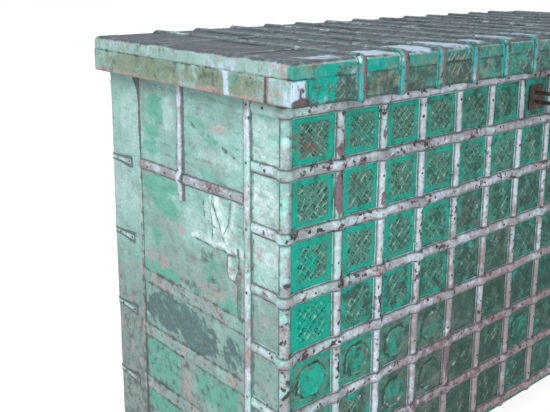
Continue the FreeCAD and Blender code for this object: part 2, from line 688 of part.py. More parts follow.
def rounded_slab(name, grow, radius):
    slab = block(
        f"{name}_slab", f"2 * {LID_HALF} + 2 * {grow}", f"{LID_DEPTH} + 2 * {grow}",
        f"Dims.lid_board_thickness + {grow}", f"-{LID_HALF} - {grow}", f"{LID_FRONT} - {grow}", BOARD_LEVEL,
    )
    doc.recompute()
    top = slab.Shape.BoundBox.ZMax
    rim = [i for i, edge in enumerate(slab.Shape.Edges, start=1) if edge.BoundBox.ZMin > top - TOUCH]
    made = doc.addObject("Part::Fillet", name)
    made.Base = slab
    made.Edges = [(i, number(radius), number(radius)) for i in rim]
    return made


timber = rounded_slab("lid_timber", "0 * Dims.sheet_thickness", size("lid_edge_radius"))
cover = rounded_slab("lid_cover", SKIN, f"Dims.lid_edge_radius + {SKIN}")
keep(cut("lid_top_sheet", cover, timber), "lid_top_sheet")
LID_BOARDS = ("front", "middle", "back")
BOARD_STEP = f"(({LID_DEPTH} + {CLEAR}) / {len(LID_BOARDS)})"
for i, place_name in enumerate(LID_BOARDS):
    label = f"lid_board_{place_name}"
    start = f"{LID_FRONT} + {i} * {BOARD_STEP}"
    span = block(
        f"{label}_span", f"2 * {LID_HALF}", f"{BOARD_STEP} - {CLEAR}", size("lid_board_thickness"),
        f"-{LID_HALF}", start, BOARD_LEVEL,
    )
    board = doc.addObject("Part::Common", label)
    board.Base = span
    board.Tool = timber
    keep(board, label)

# Rim sheet: a band round the rails, below the folded edge of the top sheet
RIM_FOOT = f"({TOP} + Dims.rim_gap)"
RIM_TALL = "(Dims.lid_rail_height - Dims.rim_gap)"
rim_outer = block(
    "rim_outer", f"2 * {LID_HALF} + 2 * {SKIN}", f"{LID_DEPTH} + 2 * {SKIN}", RIM_TALL,
    f"-{LID_HALF} - {SKIN}", RIM_FRONT, RIM_FOOT,
)
rim_inner = block(
    "rim_inner", f"2 * {LID_HALF}", LID_DEPTH, RIM_TALL, f"-{LID_HALF}", LID_FRONT, RIM_FOOT,
)
keep(cut("lid_rim_sheet", rim_outer, rim_inner), "lid_rim_sheet")

# Corner plates folded round the lid's two front corners
PLATE_END = size("corner_plate_end")
PLATE_FRONT = size("corner_plate_front")
plate_corners = [
    (f"-{SKIN}", f"-{SKIN}"), (PLATE_FRONT, f"-{SKIN}"),
    (PLATE_FRONT, ZERO), (ZERO, ZERO), (ZERO, PLATE_END), (f"-{SKIN}", PLATE_END),
]
corner_plate = prism("corner_plate", plate_corners, RIM_TALL)
place(corner_plate, f"-{LID_HALF} - {SKIN}", RIM_FRONT, RIM_FOOT)
doc.recompute()
plates = Part.makeCompound([corner_plate.Shape, mirrored(corner_plate.Shape)])
solid_node("lid_corner_plates", plates)


# Lid straps: from the back edge over the top, down the front rim and turned under it. The middle one
# stops above the hasp's plate. Each turn is a mitre, and the upper one lies on the lid's rounded edge.
def lid_strap(full):
    top, rim = number(LID_TOP) + number(SKIN), number(RIM_FRONT)
    cut_back = (number("Dims.lid_edge_radius") + number(SKIN)) * (2 - 2**0.5)
    back = number(BACK) - number("Dims.lid_strap_back")
    path = [V(0, back, top), V(0, rim + cut_back, top), V(0, rim, top - cut_back)]
    if full:
        under = number(TOP) - number("Dims.strap_gap")
        path += [V(0, rim, under), V(0, rim + number("Dims.lid_strap_tuck"), under)]
    else:
        path += [V(0, rim, number(PLATE_TOP) + number("Dims.strap_gap"))]
    return swept(path, V(1, 0, 0), V(0, 0, 1), strap_section(number("Dims.strap_height")))


def lid_strap_places():
    reach = number(HALF) - number("Dims.lid_strap_margin")
    return spread(-reach, reach, int(number("Dims.lid_strap_count")))


def lid_straps():
    full, short = lid_strap(True), lid_strap(False)
    in_the_way = (number("Dims.hasp_plate_width") + number("Dims.strap_width")) / 2
    straps = []
    for x in lid_strap_places():
        shape = (short if abs(x - number(HASP_X)) < in_the_way else full).copy()
        shape.translate(V(x, 0, 0))
        straps.append(shape)
    return Part.makeCompound(straps)


solid_node("lid_straps", lid_straps())


# Flat seam strips along the lid top, one in each bay between the straps
def seam_strips():
    top, front = number(LID_TOP) + number(SKIN), number(FRONT)
    wide, thin = number("Dims.seam_width"), number("Dims.seam_thickness")
    strap, gap = number("Dims.strap_width") / 2, number("Dims.strap_gap")
    edge = number(LID_HALF) - number("Dims.lid_edge_radius")
    places = lid_strap_places()
    starts = [-edge] + [x + strap + gap for x in places]
    stops = [x - strap - gap for x in places] + [edge]
    strips = []
    for seam in ("seam_first", "seam_second"):
        y = front + number(size(seam)) - wide / 2
        for start, stop in zip(starts, stops):
            strips.append(Part.makeBox(stop - start, wide, thin, V(start, y, top)))
    return Part.makeCompound(strips)


solid_node("lid_seam_strips", seam_strips())

# Lid hinges on the back: leaves with three knuckles round a headed pin
KNUCKLE = size("hinge_knuckle_radius")
HINGE_Y = f"({BACK} + {SKIN} + Dims.hinge_gap + Dims.hinge_knuckle_radius)"
LEAF_FACE = f"({BACK} + {SKIN})"
KNUCKLE_STEP = "(Dims.hinge_width / 3)"
KNUCKLE_RUN = f"({KNUCKLE_STEP} - Dims.hinge_gap)"
LEAF_CLEAR = "(Dims.hinge_knuckle_radius + 3 * Dims.hinge_gap)"
HOLE = "(Dims.hinge_pin_radius + Dims.pin_clearance)"


def hinge_leaf(name, knuckles, upper):
    leaf_z = f"{TOP} + {LEAF_CLEAR}" if upper else f"{TOP} - {LEAF_CLEAR} - Dims.hinge_leaf_height"
    pieces = [
        block(
            f"{name}_plate", size("hinge_width"), size("hinge_leaf"), size("hinge_leaf_height"),
            "-Dims.hinge_width / 2", LEAF_FACE, leaf_z,
        )
    ]
    for i in knuckles:
        x = f"-Dims.hinge_width / 2 + {i} * {KNUCKLE_STEP} + Dims.hinge_gap / 2"
        web_z = TOP if upper else f"{TOP} - {LEAF_CLEAR}"
        pieces.append(cross_rod(f"{name}_knuckle_{i}", KNUCKLE, KNUCKLE_RUN, x, HINGE_Y, TOP))
        pieces.append(
            block(
                f"{name}_web_{i}", KNUCKLE_RUN, "Dims.hinge_leaf - Dims.hinge_gap", LEAF_CLEAR,
                x, f"{LEAF_FACE} + Dims.hinge_gap", web_z,
            )
        )
    hole = cross_rod(f"{name}_hole", HOLE, size("hinge_width"), "-Dims.hinge_width / 2", HINGE_Y, TOP)
    return cut(name, join(f"{name}_joined", pieces), hole)


hinge_reach = number(f"{HALF} - Dims.hinge_margin")
hinge_places = spread(-hinge_reach, hinge_reach, int(number("Dims.hinge_count")))
hinge_moves = [V(x, 0, 0) for x in hinge_places]
copies("hinge_leaves_lower", hinge_leaf("lower_leaf", (0, 2), False), hinge_moves)
copies("hinge_leaves_upper", hinge_leaf("upper_leaf", (1,), True), hinge_moves)
pin_bar = cross_rod(
    "hinge_pin_bar", size("hinge_pin_radius"), "Dims.hinge_width + 2 * Dims.pin_head",
    "-Dims.hinge_width / 2 - Dims.pin_head", HINGE_Y, TOP,
)
pin_head = cross_rod(
    "hinge_pin_head", "Dims.hinge_pin_radius + Dims.pin_head / 2", size("pin_head"),
    "-Dims.hinge_width / 2 - Dims.pin_head", HINGE_Y, TOP,
)
copies("hinge_pins", join("hinge_pin", [pin_bar, pin_head]), hinge_moves)

# Hasp: a plate on the lid's rim, a slotted hasp that hangs from it and the pin between them
HASP_STEP = "(Dims.hasp_plate_width / 3)"
HASP_RUN = f"({HASP_STEP} - Dims.hasp_gap)"
HASP_HOLE = "(Dims.hasp_pin_radius + Dims.pin_clearance)"
HASP_LEFT = f"({HASP_X} - Dims.hasp_plate_width / 2)"
HASP_SPAN = size("hasp_plate_width")


def knuckle_start(i):
    return f"{HASP_LEFT} + {i} * {HASP_STEP} + Dims.hasp_gap / 2"


def hasp_knuckle(name, i):
    return cross_rod(name, size("hasp_knuckle_radius"), HASP_RUN, knuckle_start(i), HASP_Y, HASP_Z)


def pin_hole(name):
    return cross_rod(name, HASP_HOLE, HASP_SPAN, HASP_LEFT, HASP_Y, HASP_Z)


PLATE_FACE = f"({RIM_FRONT} - Dims.hasp_plate_thickness)"
plate_pieces = [
    block(
        "hasp_plate_flat", HASP_SPAN, size("hasp_plate_thickness"), f"{PLATE_TOP} - {PLATE_FOOT}",
        HASP_LEFT, PLATE_FACE, PLATE_FOOT,
    )
]
for i in (0, 2):
    web = block(
        f"hasp_plate_web_{i}", HASP_RUN, "Dims.hasp_plate_thickness - Dims.hasp_gap", HASP_CLEAR,
        knuckle_start(i), PLATE_FACE, HASP_Z,
    )
    plate_pieces += [hasp_knuckle(f"hasp_plate_knuckle_{i}", i), web]
plate_body = join("hasp_plate_joined", plate_pieces)
keep(cut("hasp_plate", plate_body, pin_hole("hasp_plate_hole")), "hasp_plate")
hasp_pin = cross_rod("hasp_pin", size("hasp_pin_radius"), HASP_SPAN, HASP_LEFT, HASP_Y, HASP_Z)
keep(hasp_pin, "hasp_pin")

THICK = size("hasp_thickness")
HASP_FACE = f"({HASP_Y} - Dims.hasp_thickness / 2)"
HASP_HALF = "(Dims.hasp_width / 2)"
SLOT_HALF = "(Dims.staple_bar_radius + Dims.slot_side)"
SLOT_HIGH = f"({STAPLE_Z} + {STAPLE_HALF} + Dims.slot_above - {SLOT_HALF})"
SLOT_LOW = f"({STAPLE_Z} - {STAPLE_HALF} - Dims.slot_below + {SLOT_HALF})"
HASP_END = f"({SLOT_LOW} - {SLOT_HALF} - Dims.hasp_toe)"
SHOULDER = f"({HASP_Z} - {HASP_CLEAR})"


AWAY = FreeCAD.Rotation(V(1, 0, 0), 90)


def flat_disc(name, radius, z):
    made = doc.addObject("Part::Cylinder", name)
    bind(made, Radius=radius, Height=THICK)
    made.Placement = FreeCAD.Placement(V(), AWAY)
    return place(made, HASP_X, f"{HASP_Y} + Dims.hasp_thickness / 2", z)


neck = block(
    "hasp_neck", HASP_RUN, THICK, f"{HASP_CLEAR} + Dims.hasp_gap",
    knuckle_start(1), HASP_FACE, f"{SHOULDER} - Dims.hasp_gap",
)
TOE_Z = f"({HASP_END} + {HASP_HALF})"
tongue = block(
    "hasp_tongue", size("hasp_width"), THICK, f"{SHOULDER} - {TOE_Z}",
    f"{HASP_X} - {HASP_HALF}", HASP_FACE, TOE_Z,
)
toe = flat_disc("hasp_toe", HASP_HALF, TOE_Z)
hasp_body = join("hasp_body", [hasp_knuckle("hasp_knuckle", 1), neck, tongue, toe])
slot_run = block(
    "hasp_slot_run", f"2 * {SLOT_HALF}", THICK, f"{SLOT_HIGH} - {SLOT_LOW}",
    f"{HASP_X} - {SLOT_HALF}", HASP_FACE, SLOT_LOW,
)
slot_upper = flat_disc("hasp_slot_upper", SLOT_HALF, SLOT_HIGH)
slot_lower = flat_disc("hasp_slot_lower", SLOT_HALF, SLOT_LOW)
slot = join("hasp_slot", [slot_run, slot_upper, slot_lower])
keep(cut("hasp", cut("hasp_slotted", hasp_body, slot), pin_hole("hasp_bore")), "hasp")

# Check every piece, then write one file for each
doc.recompute()
failed = [o.Label for o in doc.Objects if "Invalid" in o.State or "Error" in o.State]
for obj in nodes:
    if obj.Shape.isNull() or not obj.Shape.isValid() or not obj.Shape.Solids:
        failed.append(obj.Label)
if failed:
    raise RuntimeError(f"these pieces failed: {sorted(set(failed))}")

os.makedirs("parts", exist_ok=True)
for obj in nodes:
    obj.Shape.exportStep(f"parts/{obj.Label}.step")
box = Part.makeCompound([obj.Shape for obj in nodes]).BoundBox
print(len(nodes), "pieces,", sum(len(obj.Shape.Solids) for obj in nodes), "solids")
print("box", [round(v, 2) for v in (box.XMin, box.YMin, box.ZMin, box.XMax, box.YMax, box.ZMax)])
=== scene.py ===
import math

import bmesh
import bpy
import numpy as np
from mathutils import Matrix, Vector


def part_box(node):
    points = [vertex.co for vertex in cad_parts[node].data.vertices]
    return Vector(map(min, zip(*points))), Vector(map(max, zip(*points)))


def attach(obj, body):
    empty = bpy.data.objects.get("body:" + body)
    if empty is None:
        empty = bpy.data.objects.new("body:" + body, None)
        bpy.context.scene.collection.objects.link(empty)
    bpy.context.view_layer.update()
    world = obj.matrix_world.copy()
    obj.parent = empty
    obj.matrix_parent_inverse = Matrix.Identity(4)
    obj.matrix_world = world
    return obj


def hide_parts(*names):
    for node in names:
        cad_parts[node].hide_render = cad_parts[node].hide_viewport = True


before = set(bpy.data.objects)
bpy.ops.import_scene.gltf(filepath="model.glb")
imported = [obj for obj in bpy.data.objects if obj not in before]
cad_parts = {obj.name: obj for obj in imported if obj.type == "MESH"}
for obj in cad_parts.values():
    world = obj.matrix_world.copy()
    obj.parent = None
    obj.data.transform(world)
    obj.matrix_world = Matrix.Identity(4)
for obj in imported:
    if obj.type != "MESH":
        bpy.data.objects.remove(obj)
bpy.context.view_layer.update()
print("frame loaded,", len(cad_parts), "nodes")

strapWidth = 0.025                           # hoop iron, in metres like every size here
topPitch = 0.114                             # the top row of squares is lower than the others
strapCounts = {"uprights": 12, "rows": 8, "back": 4, "lid": 13}
sideName = {1: "left", -1: "right"}          # the right end mirrors the left one


# Middles of evenly spaced straps between two outer edges
def strapMiddles(low, high, count):
    return np.linspace(low + strapWidth / 2, high - strapWidth / 2, count)


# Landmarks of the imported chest; u is the distance back from the front plane
frontSheetLow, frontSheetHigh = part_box("front_sheet")
leftSheetLow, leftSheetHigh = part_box("left_end_sheet")
skin = leftSheetHigh.x - leftSheetLow.x      # thickness of the sheet iron
endFace = leftSheetLow.x                     # outer face of the left end sheet
frontPlane = frontSheetHigh.y                # timber behind the front sheet
frontFace = frontPlane - skin
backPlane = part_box("back_sheet")[0].y
backFace = backPlane + skin
wallFoot, wallTop = frontSheetLow.z, frontSheetHigh.z
uprightLow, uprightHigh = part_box("front_upright_straps")
uprightXs = strapMiddles(uprightLow.x, uprightHigh.x, strapCounts["uprights"])
rowLow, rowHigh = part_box("front_row_straps")
topRow = rowHigh.z - strapWidth / 2
lowerRows = np.linspace(topRow - topPitch, rowLow.z + strapWidth / 2, strapCounts["rows"] - 1)
rowZs = np.append(topRow, lowerRows)
columnEdges = np.concatenate([[endFace + skin], uprightXs, [-endFace - skin]])
frontStrapU, shortStrapU = (
    sum(p.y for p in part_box(f"left_end_strap_{which}")) / 2 - frontPlane for which in ("front", "short")
)
crossZ = sum(p.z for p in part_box("left_end_cross_strap")) / 2
backZs = strapMiddles(*(p.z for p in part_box("back_straps")), strapCounts["back"])
lidLow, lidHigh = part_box("lid_top_sheet")
lidStrapLow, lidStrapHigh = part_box("lid_straps")
lidStrapXs = strapMiddles(lidStrapLow.x, lidStrapHigh.x, strapCounts["lid"])
rimFoot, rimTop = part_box("lid_rail_left")[0].z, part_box("lid_rim_sheet")[1].z


# Numbers that vary smoothly over space, about -1 to 1
def ripple(points, size, seed):
    draw = np.random.default_rng(seed)
    total = np.zeros(points.shape[:-1])
    for layer in range(3):
        for _ in range(5):
            way = draw.normal(size=3)
            way *= 2 * math.pi * 2**layer / size / np.linalg.norm(way)
            total += 0.5**layer * np.sin(points @ way + draw.uniform(0, 2 * math.pi))
    return total / 2.5


def smooth(low, high, value):
    share = np.clip((value - low) / (high - low), 0, 1)
    return share * share * (3 - 2 * share)


# One up to a distance, then fading to zero
def near(inside, outside, distance):
    return 1 - smooth(inside, outside, distance)


# A soft patch of paint, rust or bare metal in wall coordinates
def spot(atU, atV, wide, high, amount=1, turn=0, square=False, soft=0.35):
    c, s = math.cos(math.radians(turn)), math.sin(math.radians(turn))

    def cover(u, v):
        along = ((u - atU) * c + (v - atV) * s) / wide
        across = ((v - atV) * c - (u - atU) * s) / high
        reach = np.maximum(abs(along), abs(across)) if square else np.hypot(along, across)
        return amount * near(1 - soft, 1 + soft, reach)

    return cover


def tile(*place, amount=1, soft=0.35):
    return spot(*place, amount, square=True, soft=soft)


def blots(u, v, spots):
    return np.max([cover(u, v) for cover in spots], axis=0)


# Distance from the nearest of several middles, with its sign
def offNearest(values, middles):
    gaps = values[..., None] - np.array(middles)
    return np.take_along_axis(gaps, np.argmin(abs(gaps), axis=-1)[..., None], axis=-1)[..., 0]


# Mesh helpers
def newObject(name, vertices, edges=(), faces=(), **layers):
    mesh = bpy.data.meshes.new(name)
    mesh.from_pydata([tuple(p) for p in vertices], list(edges), [tuple(f) for f in faces])
    for key, values in layers.items():
        values = np.array(values)
        kind = "FLOAT_VECTOR" if values.ndim > 1 else "INT" if values.dtype.kind == "i" else "FLOAT"
        slots = mesh.attributes.new(key, kind, "POINT").data
        slots.foreach_set("vector" if values.ndim > 1 else "value", values.ravel())
    obj = bpy.data.objects.new(name, mesh)
    bpy.context.scene.collection.objects.link(obj)
    return obj


def newPiece(name, vertices, faces, smoothShade=True):
    obj = newObject(name, vertices, faces=faces)
    obj.data.polygons.foreach_set("use_smooth", [smoothShade] * len(obj.data.polygons))
    obj.data.update()
    return obj


def grid(x, y, z):
    return np.stack(np.broadcast_arrays(x, y, z), axis=-1)


def quadsOf(index):
    cells = [index[:-1, :-1], index[1:, :-1], index[1:, 1:], index[:-1, 1:]]
    return np.stack([c.ravel() for c in cells], axis=1)


def rimOf(index):
    return np.concatenate([index[:-1, 0], index[-1, :-1], index[:0:-1, -1], index[0, :0:-1]])


def band(upper, lower):
    return np.stack([np.roll(upper, -1), upper, lower, np.roll(lower, -1)], axis=1)


# A sheet of metal between an outer and an inner grid of points, closed round its edge
def slab(outer, inner):
    count = outer[..., 0].size
    index = np.arange(count).reshape(outer.shape[:2])
    rim = rimOf(index)
    faces = np.concatenate([quadsOf(index), quadsOf(index)[:, ::-1] + count, band(rim, rim + count)])
    return np.concatenate([outer.reshape(-1, 3), inner.reshape(-1, 3)]), faces


# The same with a plain flat back, for a finely dented sheet
def dentedSheet(outer, inner):
    count = outer[..., 0].size
    index = np.arange(count).reshape(outer.shape[:2])
    rim = rimOf(index)
    back = np.arange(len(rim)) + count
    points = np.concatenate([outer.reshape(-1, 3), inner.reshape(-1, 3)[rim]])
    return points, [*np.concatenate([quadsOf(index), band(rim, back)]), back]


# Keeps the faces of a mirrored wall pointing outwards
def facing(side, outer, inner):
    return (outer, inner) if side > 0 else (outer[:, ::-1], inner[:, ::-1])


def joined(parts):
    starts = np.cumsum([0] + [len(points) for points, _ in parts])
    faces = np.concatenate([quads + start for (_, quads), start in zip(parts, starts)])
    return np.concatenate([points for points, _ in parts]), faces


def pointsOf(obj):
    flat = np.zeros(len(obj.data.vertices) * 3)
    obj.data.vertices.foreach_get("co", flat)
    return flat.reshape(-1, 3)


# Writes paint masks; a plain number covers the whole piece
def brush(obj, **masks):
    for name, values in masks.items():
        layer = obj.data.attributes.get(name) or obj.data.attributes.new(name, "FLOAT", "POINT")
        values = np.broadcast_to(np.clip(values, 0, 1), len(obj.data.vertices))
        layer.data.foreach_set("value", values.astype(np.float32))


def maskValues(obj, name):
    values = np.zeros(len(obj.data.vertices), np.float32)
    obj.data.attributes[name].data.foreach_get("value", values)
    return values


def finishPiece(obj, body, slot, material, *nodes):
    obj.data.materials.clear()
    obj.data.materials.append(material)
    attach(obj, body)
    if nodes:
        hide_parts(*nodes)


# Node helpers
def feed(tree, socket, value):
    if isinstance(value, bpy.types.NodeSocket):
        tree.links.new(value, socket)
    else:
        socket.default_value = value


def node(tree, kind, settings=None, **inputs):
    made = tree.nodes.new(kind)
    for key, value in (settings or {}).items():
        setattr(made, key, value)
    for key, value in inputs.items():
        feed(tree, made.inputs[key.replace("_", " ")], value)
    return made


def sums(tree, operation, *values):
    made = node(tree, "ShaderNodeMath", {"operation": operation})
    for socket, value in zip(made.inputs, values):
        feed(tree, socket, value)
    return made.outputs[0]


# Shader helpers; colours are picked in sRGB and written to the shaders as linear values
def colour(r, g, b):
    return tuple(((c / 255 + 0.055) / 1.055) ** 2.4 for c in (r, g, b)) + (1,)


def grain(tree, scale, detail=5, rough=0.6, stretch=(1, 1, 1), turn=(0, 0, 0), shift=0.0):
    place = node(
        tree, "ShaderNodeMapping", {"vector_type": "TEXTURE"},         # turned first, then stretched
        Vector=node(tree, "ShaderNodeTexCoord").outputs["Object"], Scale=[1 / s for s in stretch],
        Rotation=[math.radians(a) for a in turn], Location=(-shift, -shift * 0.7, shift),
    )
    place = place.outputs[0]
    made = node(tree, "ShaderNodeTexNoise", Vector=place, Scale=scale, Detail=detail, Roughness=rough)
    return made.outputs[0]


def edged(tree, value, middle, soft):
    made = node(tree, "ShaderNodeMapRange", {"interpolation_type": "SMOOTHSTEP"})
    for socket, given in zip(made.inputs, (value, middle - soft, middle + soft)):
        feed(tree, socket, given)
    return made.outputs[0]


def mixed(tree, share, first, second, blend="MIX"):
    made = node(tree, "ShaderNodeMix", {"data_type": "RGBA", "blend_type": blend})
    for place, given in ((0, share), (6, first), (7, second)):
        feed(tree, made.inputs[place], given)
    return made.outputs[2]


# One layer of paint, rust or dirt; a number in place of a mask's name puts it everywhere
def coat(mask, rgb, scale, soft, **more):
    return {"mask": mask, "colour": colour(*rgb), "scale": scale, "soft": soft, **more}


# Old paint in coats: each layer shows where its mask and its noise add up to more than a half
def wornFinish(
    name, coats, mottle, layers, grit=130, lines=(1, 1, 1), relief=1.5, cloud=0.6, speckle=0.9,
    rough=(0.45, 0.75), specular=0.35, metal=0,
):
    material = bpy.data.materials.new(name)
    material.use_nodes = True
    tree = material.node_tree
    first, second, third = (colour(*rgb) for rgb in coats)
    big = edged(tree, grain(tree, mottle, 4, 0.6), 0.5, 0.16)
    small = edged(tree, grain(tree, mottle * 4.3, 6, 0.65, shift=3.1), 0.55, 0.14)
    paint = mixed(tree, sums(tree, "MULTIPLY", small, 0.7), mixed(tree, big, first, second), third)
    height = sums(tree, "MULTIPLY", grain(tree, grit, 6, 0.7, lines, (2, 0, 0), 1.7), relief)
    for i, layer in enumerate(layers):
        noise = grain(
            tree, layer["scale"], layer.get("detail", 6), 0.62, layer.get("stretch", (1, 1, 1)),
            layer.get("turn", (0, 0, 0)), layer.get("shift", 5.3 + 2.9 * i),
        )
        spread, mask = layer.get("spread", 2.4), layer["mask"]
        loose = sums(tree, "MULTIPLY_ADD", noise, spread, -0.5 * spread)
        if isinstance(mask, str):
            mask = node(tree, "ShaderNodeAttribute", {"attribute_name": mask}).outputs["Fac"]
        share = edged(tree, sums(tree, "ADD", loose, mask), layer.get("start", 0.5), layer["soft"])
        paint = mixed(tree, sums(tree, "MULTIPLY", share, layer.get("amount", 1)), paint, layer["colour"])
        if "sink" in layer:
            height = sums(tree, "MULTIPLY_ADD", share, -layer["sink"], height)
    tone = sums(tree, "MULTIPLY_ADD", grain(tree, 190, 5, 0.75, shift=8.8), speckle, 0.55 - cloud / 2)
    tone = sums(tree, "MULTIPLY_ADD", grain(tree, 48, 4, 0.6, shift=4.4), cloud, tone)
    shade = node(tree, "ShaderNodeCombineColor", Red=tone, Green=tone, Blue=tone).outputs[0]
    gloss = sums(tree, "MULTIPLY_ADD", grain(tree, 35, 4, 0.6, shift=6.1), rough[1] - rough[0], rough[0])
    bump = node(tree, "ShaderNodeBump", Distance=0.0016, Strength=1.0, Height=height).outputs[0]
    sockets = {
        "Base Color": mixed(tree, 1, paint, shade, "MULTIPLY"), "Roughness": gloss, "Normal": bump,
        "Specular IOR Level": specular, "Metallic": metal,
    }
    for key, value in sockets.items():
        feed(tree, tree.nodes["Principled BSDF"].inputs[key], value)
    return material


# Geometry Nodes helpers
def newTree(name, **sockets):
    tree = bpy.data.node_groups.new(name, "GeometryNodeTree")
    tree.interface.new_socket("Geometry", in_out="INPUT", socket_type="NodeSocketGeometry")
    for socket, kind in sockets.items():
        tree.interface.new_socket(socket, in_out="INPUT", socket_type=f"NodeSocket{kind}")
    tree.interface.new_socket("Geometry", in_out="OUTPUT", socket_type="NodeSocketGeometry")
    return tree, tree.nodes.new("NodeGroupInput").outputs, tree.nodes.new("NodeGroupOutput")


def named(tree, attribute, kind="FLOAT"):
    return node(tree, "GeometryNodeInputNamedAttribute", {"data_type": kind}, Name=attribute).outputs[0]


def scaled(tree, vector, share):
    made = node(tree, "ShaderNodeVectorMath", {"operation": "SCALE"}, Scale=share)
    feed(tree, made.inputs[0], vector)
    return made.outputs[0]


def dented(tree, geometry, depth, size, seed):
    noise = node(tree, "ShaderNodeTexNoise", {"noise_dimensions": "4D"}, Scale=size, W=seed, Detail=3.0)
    push = sums(tree, "MULTIPLY", sums(tree, "SUBTRACT", noise.outputs[0], 0.5), depth)
    offset = scaled(tree, node(tree, "GeometryNodeInputNormal").outputs[0], push)
    return node(tree, "GeometryNodeSetPosition", Geometry=geometry, Offset=offset).outputs[0]


def closeTree(tree, geometry, end, material):
    whole = node(tree, "GeometryNodeRealizeInstances", Geometry=geometry).outputs[0]
    coated = node(tree, "GeometryNodeSetMaterial", Geometry=whole, Material=material).outputs[0]
    tree.links.new(coated, end.inputs[0])


# Runs a tree on a carrier object and leaves a plain mesh behind
def bake(carrier, tree, values):
    modifier = carrier.modifiers.new(tree.name, "NODES")
    modifier.node_group = tree
    for item in tree.interface.items_tree:
        if item.in_out == "INPUT" and item.name in values:
            modifier[item.identifier] = values[item.name]
    bpy.context.view_layer.update()
    graph = bpy.context.evaluated_depsgraph_get()
    mesh = bpy.data.meshes.new_from_object(
        carrier.evaluated_get(graph), preserve_all_data_layers=True, depsgraph=graph
    )
    carrier.modifiers.remove(modifier)
    old, carrier.data = carrier.data, mesh
    bpy.data.meshes.remove(old)
    solid = bmesh.new()
    solid.from_mesh(mesh)
    inside = solid.calc_volume(signed=True) < 0
    solid.free()
    if inside:
        mesh.flip_normals()
    mesh.name = carrier.name
    return carrier


# Sections are shares of a strap's crown and width, X outward and Y across
def sectionObject(name, points, foot):
    count = len(points)
    loop = [(i, (i + 1) % count) for i in range(count)]
    return newObject(name, [(h, a, 0) for h, a in points], loop, foot=foot)


def halfRound():
    half = [(0, 0.54), (0.13, 0.535), (0.18, 0.44), (0.5, 0.395), (0.8, 0.27), (0.96, 0.12)]
    foot = [0.5, 0.1, 1, 0.62, 0.16, 0]          # painted shade, darkest in the groove where the dome meets its lips
    points = [(h, -a) for h, a in half] + [(1.0, 0.0)] + [(h, a) for h, a in reversed(half)]
    return sectionObject("halfRoundSection", points, foot + [0] + foot[::-1])


# Strap with raised rims and a dished middle, for the back
def rimmed():
    half = [(0, 0.5), (0.8, 0.5), (1.0, 0.42), (0.9, 0.27), (0.45, 0.17)]
    # foot: painted shade over the raised rims, outlining the strap
    foot = [1, 1, 1, 1, 0.1]
    points = [(h, -a) for h, a in half] + [(h, a) for h, a in reversed(half)]
    return sectionObject("rimmedSection", points, foot + foot[::-1])


def strapTree():
    tree, given, end = newTree(
        "strapSweep", Section="Object", Crown="Float", Width="Float", Dent="Float",
        DentSize="Float", Seed="Float", Finish="Material",
    )
    line = node(tree, "GeometryNodeMeshToCurve", Mesh=given["Geometry"]).outputs[0]
    outward = named(tree, "outward", "FLOAT_VECTOR")
    line = node(tree, "GeometryNodeSetCurveNormal", {"mode": "FREE"}, Curve=line, Normal=outward).outputs[0]
    shape = node(tree, "GeometryNodeObjectInfo", Object=given["Section"]).outputs["Geometry"]
    size = node(tree, "ShaderNodeCombineXYZ", X=given["Crown"], Y=given["Width"], Z=1.0)
    section = node(tree, "GeometryNodeMeshToCurve", Mesh=shape).outputs[0]
    section = node(tree, "GeometryNodeTransform", Geometry=section, Scale=size.outputs[0]).outputs[0]
    body = node(
        tree, "GeometryNodeCurveToMesh", Curve=line, Profile_Curve=section,
        Scale=named(tree, "girth"), Fill_Caps=True,
    ).outputs[0]
    body = dented(tree, body, given["Dent"], given["DentSize"], given["Seed"])
    body = node(tree, "GeometryNodeSetShadeSmooth", Geometry=body).outputs[0]
    closeTree(tree, body, end, given["Finish"])
    return tree


strapSweep = strapTree()
strapSection = halfRound()


# One piece made of several straps; a run is (points, outward, girth)
def sweep(name, runs, look, material, section=strapSection):
    edges, count = [], 0
    for points, _, _ in runs:
        edges += [(count + i, count + i + 1) for i in range(len(points) - 1)]
        count += len(points)
    vertices, outward, girth = (np.concatenate([run[k] for run in runs]) for k in range(3))
    carrier = newObject(name, vertices, edges, outward=outward.astype(float), girth=girth)
    values = {
        "Section": section, "Crown": look["crown"], "Width": look["width"], "Dent": look["dent"],
        "DentSize": look["dentSize"], "Seed": look["seed"], "Finish": material,
    }
    return bake(carrier, strapSweep, values)


# Points along a chain of corners, a fixed step apart
def stepped(corners, step):
    corners = np.array(corners, float)
    runs = []
    for a, b in zip(corners[:-1], corners[1:]):
        count = max(1, round(float(np.linalg.norm(b - a)) / step))
        runs.append(a + (b - a) * np.linspace(0, 1, count, endpoint=False)[:, None])
    return np.concatenate(runs + [corners[-1:]])


def arcPoints(centre, radius, start, stop, count):
    angles = np.radians(np.linspace(start, stop, count))
    return np.stack([centre[0] + radius * np.cos(angles), centre[1] + radius * np.sin(angles)], axis=1)


def tangents(points):
    ways = np.gradient(points, axis=0)
    return ways / np.linalg.norm(ways, axis=1)[:, None]


